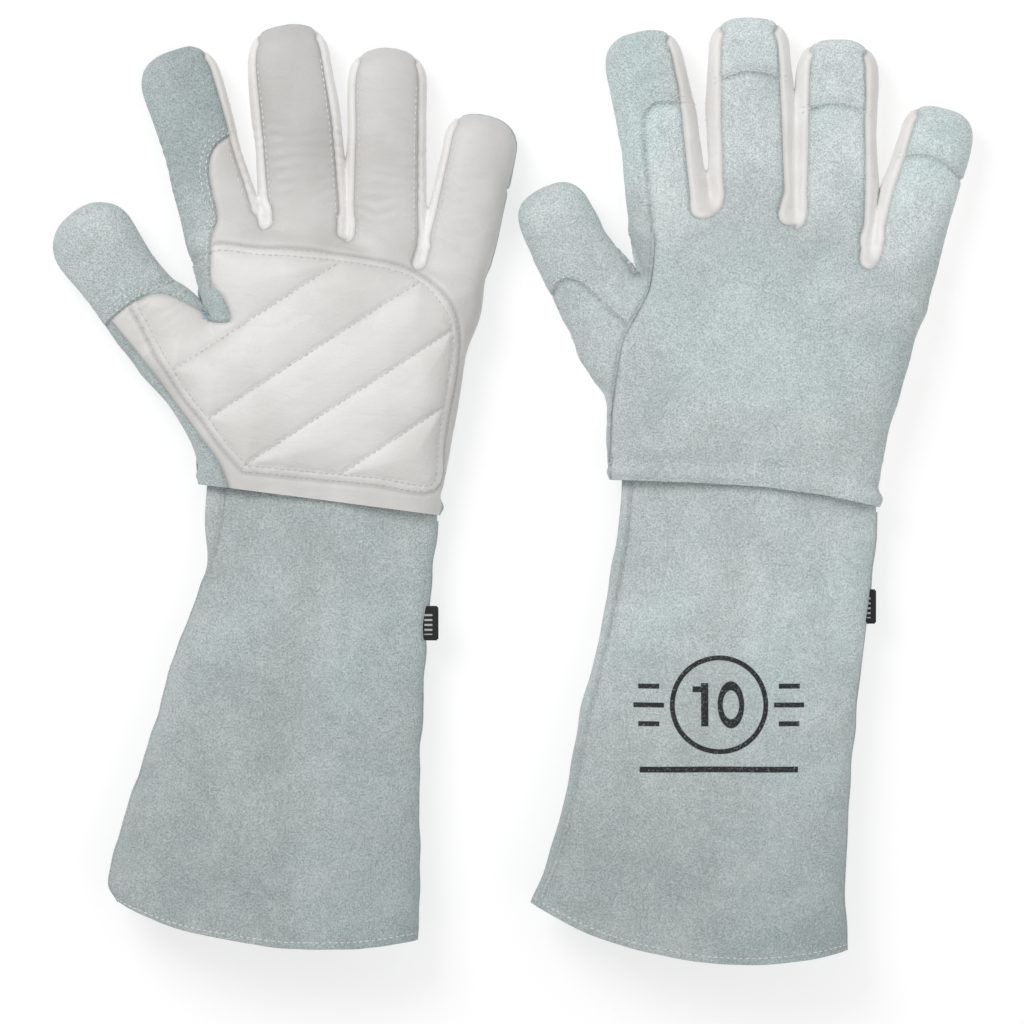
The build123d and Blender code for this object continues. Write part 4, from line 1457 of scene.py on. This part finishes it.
def stitched(name, points, runs, facing, shades, origin, group, material):
    """One object that holds every stitch of one body."""
    obj = make_object(name, points, np.zeros((0, 3), int), origin, material,
                      {"run": runs, "facing": facing, "shade": shades, "rest": points})
    modifier = obj.modifiers.new("Stitches", "NODES")
    modifier.node_group = group
    for item in group.interface.items_tree:
        if item.item_type == "SOCKET" and item.in_out == "INPUT" and item.socket_type == "NodeSocketFloat":
            modifier[item.identifier] = item.default_value
    graph = bpy.context.evaluated_depsgraph_get()
    mesh = bpy.data.meshes.new_from_object(obj.evaluated_get(graph))
    obj.modifiers.remove(modifier)
    mesh.name = f"{name}_mesh"
    obj.data = mesh
    mesh.shade_smooth()
    return obj


def stitch_runs(points, pitch):
    """Points at an even pitch along a line on the skin, and the way the line runs there."""
    points = even(points, pitch)
    run = np.gradient(points, axis=0)
    return points, run / np.maximum(np.linalg.norm(run, axis=1), 1e-9)[:, None]


def build_stitches(side, materials):
    """Every stitched row of one glove."""
    own = settings()
    pitch = own.stitch_pitch / MM
    shell, cuff = hand_shell(side), cuff_shell(side)
    laid = []
    for line, row_side, shade, _ in shell.rows():
        points, _ = shell.project(shell.tree, even(line, 0.8), row_side)
        for piece in unbroken(points):
            if len(piece) < 5:
                continue
            spots, run = stitch_runs(piece, pitch)
            laid.append((spots, run, np.full(len(spots), shade)))
    spots, runs, shades = (np.concatenate([row[i] for row in laid]) for i in range(3))
    hits = [shell.tree.find_nearest(Vector(spot)) for spot in spots]
    normals = np.array([hit[1] for hit in hits])
    spots = np.array([hit[0] for hit in hits]) + normals * 0.08
    here = shell.lie(spots)
    names = list(shell.digits)
    bodies = np.where(here.on_digit, np.array(names)[here.owner], "hand")
    group = stitch_group(materials["thread"])
    for body in sorted(set(bodies)):
        mine = bodies == body
        obj = stitched(f"{side}_{body}_stitches", spots[mine], runs[mine], normals[mine], shades[mine],
                       shell.origin, group, materials["thread"])
        bend_with(obj, side, body)
    rows = []
    for row in (cuff.along - 4,):
        points, facing = cuff.ring_row(row)
        closed = np.vstack([points, points[:1]])
        spots, run = stitch_runs(closed, pitch)
        rows.append((spots, run))
    spots, runs = (np.concatenate([row[i] for row in rows]) for i in range(2))
    tree = BVHTree.FromPolygons(cuff.verts.tolist(), cuff.tris.tolist())
    hits = [tree.find_nearest(Vector(spot)) for spot in spots]
    normals = np.array([hit[1] for hit in hits])
    spots = np.array([hit[0] for hit in hits]) + normals * 0.05
    shades = np.full(len(spots), 0.8)
    obj = stitched(f"{side}_cuff_stitches", spots, runs, normals, shades, cuff.origin, group,
                   materials["thread"])
    bend_with(obj, side, "cuff")


def unbroken(points, gap=6.0):
    """A row's points, parted where the row jumps."""
    if len(points) < 2:
        return [points]
    jumps = np.where(np.linalg.norm(np.diff(points, axis=0), axis=1) > gap)[0] + 1
    return np.split(points, jumps)


# ---------------------------------------------------------------------------------------------------
# Stage
# ---------------------------------------------------------------------------------------------------
def build_stage():
    """A pale floor, soft light from above and a long lens straight over the pair."""
    own = settings()
    scene = bpy.context.scene
    scene.view_settings.view_transform = "Standard"
    world = bpy.data.worlds.new("Studio")
    world.use_nodes = True
    background = world.node_tree.nodes["Background"]
    background.inputs["Color"].default_value = (1.0, 1.0, 1.0, 1.0)
    nodes, links = world.node_tree.nodes, world.node_tree.links
    direction = nodes.new("ShaderNodeTexCoord")
    height = nodes.new("ShaderNodeSeparateXYZ")
    strength = nodes.new("ShaderNodeMapRange")
    links.new(direction.outputs["Generated"], height.inputs[0])
    links.new(height.outputs["Z"], strength.inputs["Value"])
    strength.inputs["To Min"].default_value = own.world_light * 0.25
    strength.inputs["To Max"].default_value = own.world_light * 1.4
    links.new(strength.outputs[0], background.inputs["Strength"])
    scene.world = world
    s = Shader("Pale floor")
    tone = s.add("ShaderNodeTexNoise", {"Vector": s.add("ShaderNodeTexCoord", out="Object"), "Scale": 3.0})
    pale = s.mix(tone, (0.93, 0.93, 0.93), (0.95, 0.95, 0.95))
    floor_material = s.finish(Base_Color=s.mix(1.0, pale, (0.42, 0.42, 0.42), "MULTIPLY"), Roughness=0.9,
                              Emission_Color=pale, Emission_Strength=0.66)
    mesh = bpy.data.meshes.new("Studio floor")
    mesh.from_pydata([(-4, -4, 0), (4, -4, 0), (4, 4, 0), (-4, 4, 0)], [], [(0, 1, 2, 3)])
    mesh.materials.append(floor_material)
    floor = bpy.data.objects.new("Studio floor", mesh)
    floor.location.z = -0.0002
    things = [floor]
    for name, place, size, power in (("Key light", (-0.9, 1.0, 1.5), 1.1, own.key_power),
                                     ("Fill light", (1.2, -0.6, 1.7), 1.6, own.key_power * 0.3)):
        light = bpy.data.lights.new(name, "AREA")
        light.shape = "DISK"
        light.size = size
        light.energy = power
        lamp = bpy.data.objects.new(name, light)
        lamp.location = place
        lamp.rotation_euler = Vector(place).to_track_quat("Z", "Y").to_euler()
        things.append(lamp)
    lens = bpy.data.cameras.new("Overhead camera")
    lens.lens = 36.0 * CAMERA_HEIGHT / VIEW_WIDTH
    lens.clip_end = 20.0
    camera = bpy.data.objects.new("Overhead camera", lens)
    camera.location = (VIEW_MIDDLE[0], VIEW_MIDDLE[1], CAMERA_HEIGHT)
    things.append(camera)
    for thing in things:
        scene.collection.objects.link(thing)
    scene.camera = camera


# ---------------------------------------------------------------------------------------------------
# Add-on
# ---------------------------------------------------------------------------------------------------
class GauntletSettings(bpy.types.PropertyGroup):
    """What can be changed about the gauntlets before they are built."""

    thickness: FloatProperty(name="Leather thickness", description="How thick every leather panel is",
                             default=0.0013, min=0.0006, max=0.003, unit="LENGTH")
    seam_press: FloatProperty(name="Seam depth", description="How far the seams are pressed in",
                              default=0.0009, min=0.0, max=0.002, unit="LENGTH")
    pad_puff: FloatProperty(name="Pad puff", description="How far the quilted cells stand up",
                            default=0.0030, min=0.0, max=0.005, unit="LENGTH")
    stitch_pitch: FloatProperty(name="Stitch pitch", description="Distance from one stitch to the next",
                                default=0.0027, min=0.0015, max=0.006, unit="LENGTH")
    stitch_length: FloatProperty(name="Stitch length", description="Length of thread that shows",
                                 default=0.0019, min=0.001, max=0.005, unit="LENGTH")
    stitch_thickness: FloatProperty(name="Thread thickness", description="Thickness of the thread",
                                    default=0.00056, min=0.0002, max=0.0015, unit="LENGTH")
    suede_pale: FloatVectorProperty(name="Suede, pale", description="Brushed suede where the nap is pale",
                                    default=(0.69, 0.745, 0.745), subtype="COLOR", min=0.0, max=1.0)
    suede_dark: FloatVectorProperty(name="Suede, dark", description="Brushed suede where the nap is dark",
                                    default=(0.44, 0.495, 0.495), subtype="COLOR", min=0.0, max=1.0)
    leather: FloatVectorProperty(name="Grain leather", description="The white grain leather",
                                 default=(0.84, 0.83, 0.815), subtype="COLOR", min=0.0, max=1.0)
    world_light: FloatProperty(name="Surround", description="Strength of the light from all round",
                               default=0.62, min=0.0, max=3.0)
    key_power: FloatProperty(name="Key light", description="Power of the main light", default=17.0, min=0.0,
                             max=200.0, subtype="POWER")


def materials_now():
    """The materials, made once."""
    if not MATERIALS:
        MATERIALS.update(make_materials())
    return MATERIALS


MATERIALS = {}
SIDES = [("left", "Left", "The left glove, palm up"), ("right", "Right", "The right glove, back up")]


class GAUNTLETS_OT_hand(bpy.types.Operator):
    """Build the leather, gel and foam of one glove's hand and digits"""

    bl_idname = "gauntlets.hand"
    bl_label = "Build hand"
    side: EnumProperty(name="Side", description="Which glove", items=SIDES)

    def execute(self, context):
        build_hand(self.side, materials_now())
        return {"FINISHED"}


class GAUNTLETS_OT_cuff(bpy.types.Operator):
    """Build one glove's cuff, its welts and its label"""

    bl_idname = "gauntlets.cuff"
    bl_label = "Build cuff"
    side: EnumProperty(name="Side", description="Which glove", items=SIDES)

    def execute(self, context):
        build_cuff(self.side, materials_now())
        return {"FINISHED"}


class GAUNTLETS_OT_stitches(bpy.types.Operator):
    """Build every stitched row of one glove"""

    bl_idname = "gauntlets.stitches"
    bl_label = "Build stitches"
    side: EnumProperty(name="Side", description="Which glove", items=SIDES)

    def execute(self, context):
        build_stitches(self.side, materials_now())
        return {"FINISHED"}


class GAUNTLETS_OT_stage(bpy.types.Operator):
    """Build the floor, the lights and the camera"""

    bl_idname = "gauntlets.stage"
    bl_label = "Build stage"

    def execute(self, context):
        build_stage()
        return {"FINISHED"}


class GAUNTLETS_PT_panel(bpy.types.Panel):
    """The gauntlets' sidebar panel"""

    bl_idname = "GAUNTLETS_PT_panel"
    bl_label = "Welding gauntlets"
    bl_space_type = "VIEW_3D"
    bl_region_type = "UI"
    bl_category = "Gauntlets"

    def draw(self, context):
        column = self.layout.column(align=True)
        for name in GauntletSettings.__annotations__:
            column.prop(context.scene.gauntlets, name)
        for side, label, _ in SIDES:
            for operator in ("hand", "cuff", "stitches"):
                button = column.operator(f"gauntlets.{operator}", text=f"{label} {operator}")
                button.side = side
        column.operator("gauntlets.stage")


CLASSES = (GauntletSettings, GAUNTLETS_OT_hand, GAUNTLETS_OT_cuff, GAUNTLETS_OT_stitches, GAUNTLETS_OT_stage,
           GAUNTLETS_PT_panel)


def register():
    """Add the classes and the settings."""
    for cls in CLASSES:
        bpy.utils.register_class(cls)
    bpy.types.Scene.gauntlets = PointerProperty(type=GauntletSettings)


def unregister():
    """Remove them again."""
    del bpy.types.Scene.gauntlets
    for cls in reversed(CLASSES):
        bpy.utils.unregister_class(cls)


def main():
    """Make the gloves and the stage."""
    register()
    for side in ("left", "right"):
        bpy.ops.gauntlets.hand(side=side)
        bpy.ops.gauntlets.cuff(side=side)
        bpy.ops.gauntlets.stitches(side=side)
    bpy.ops.gauntlets.stage()


if __name__ == "__main__":
    main()
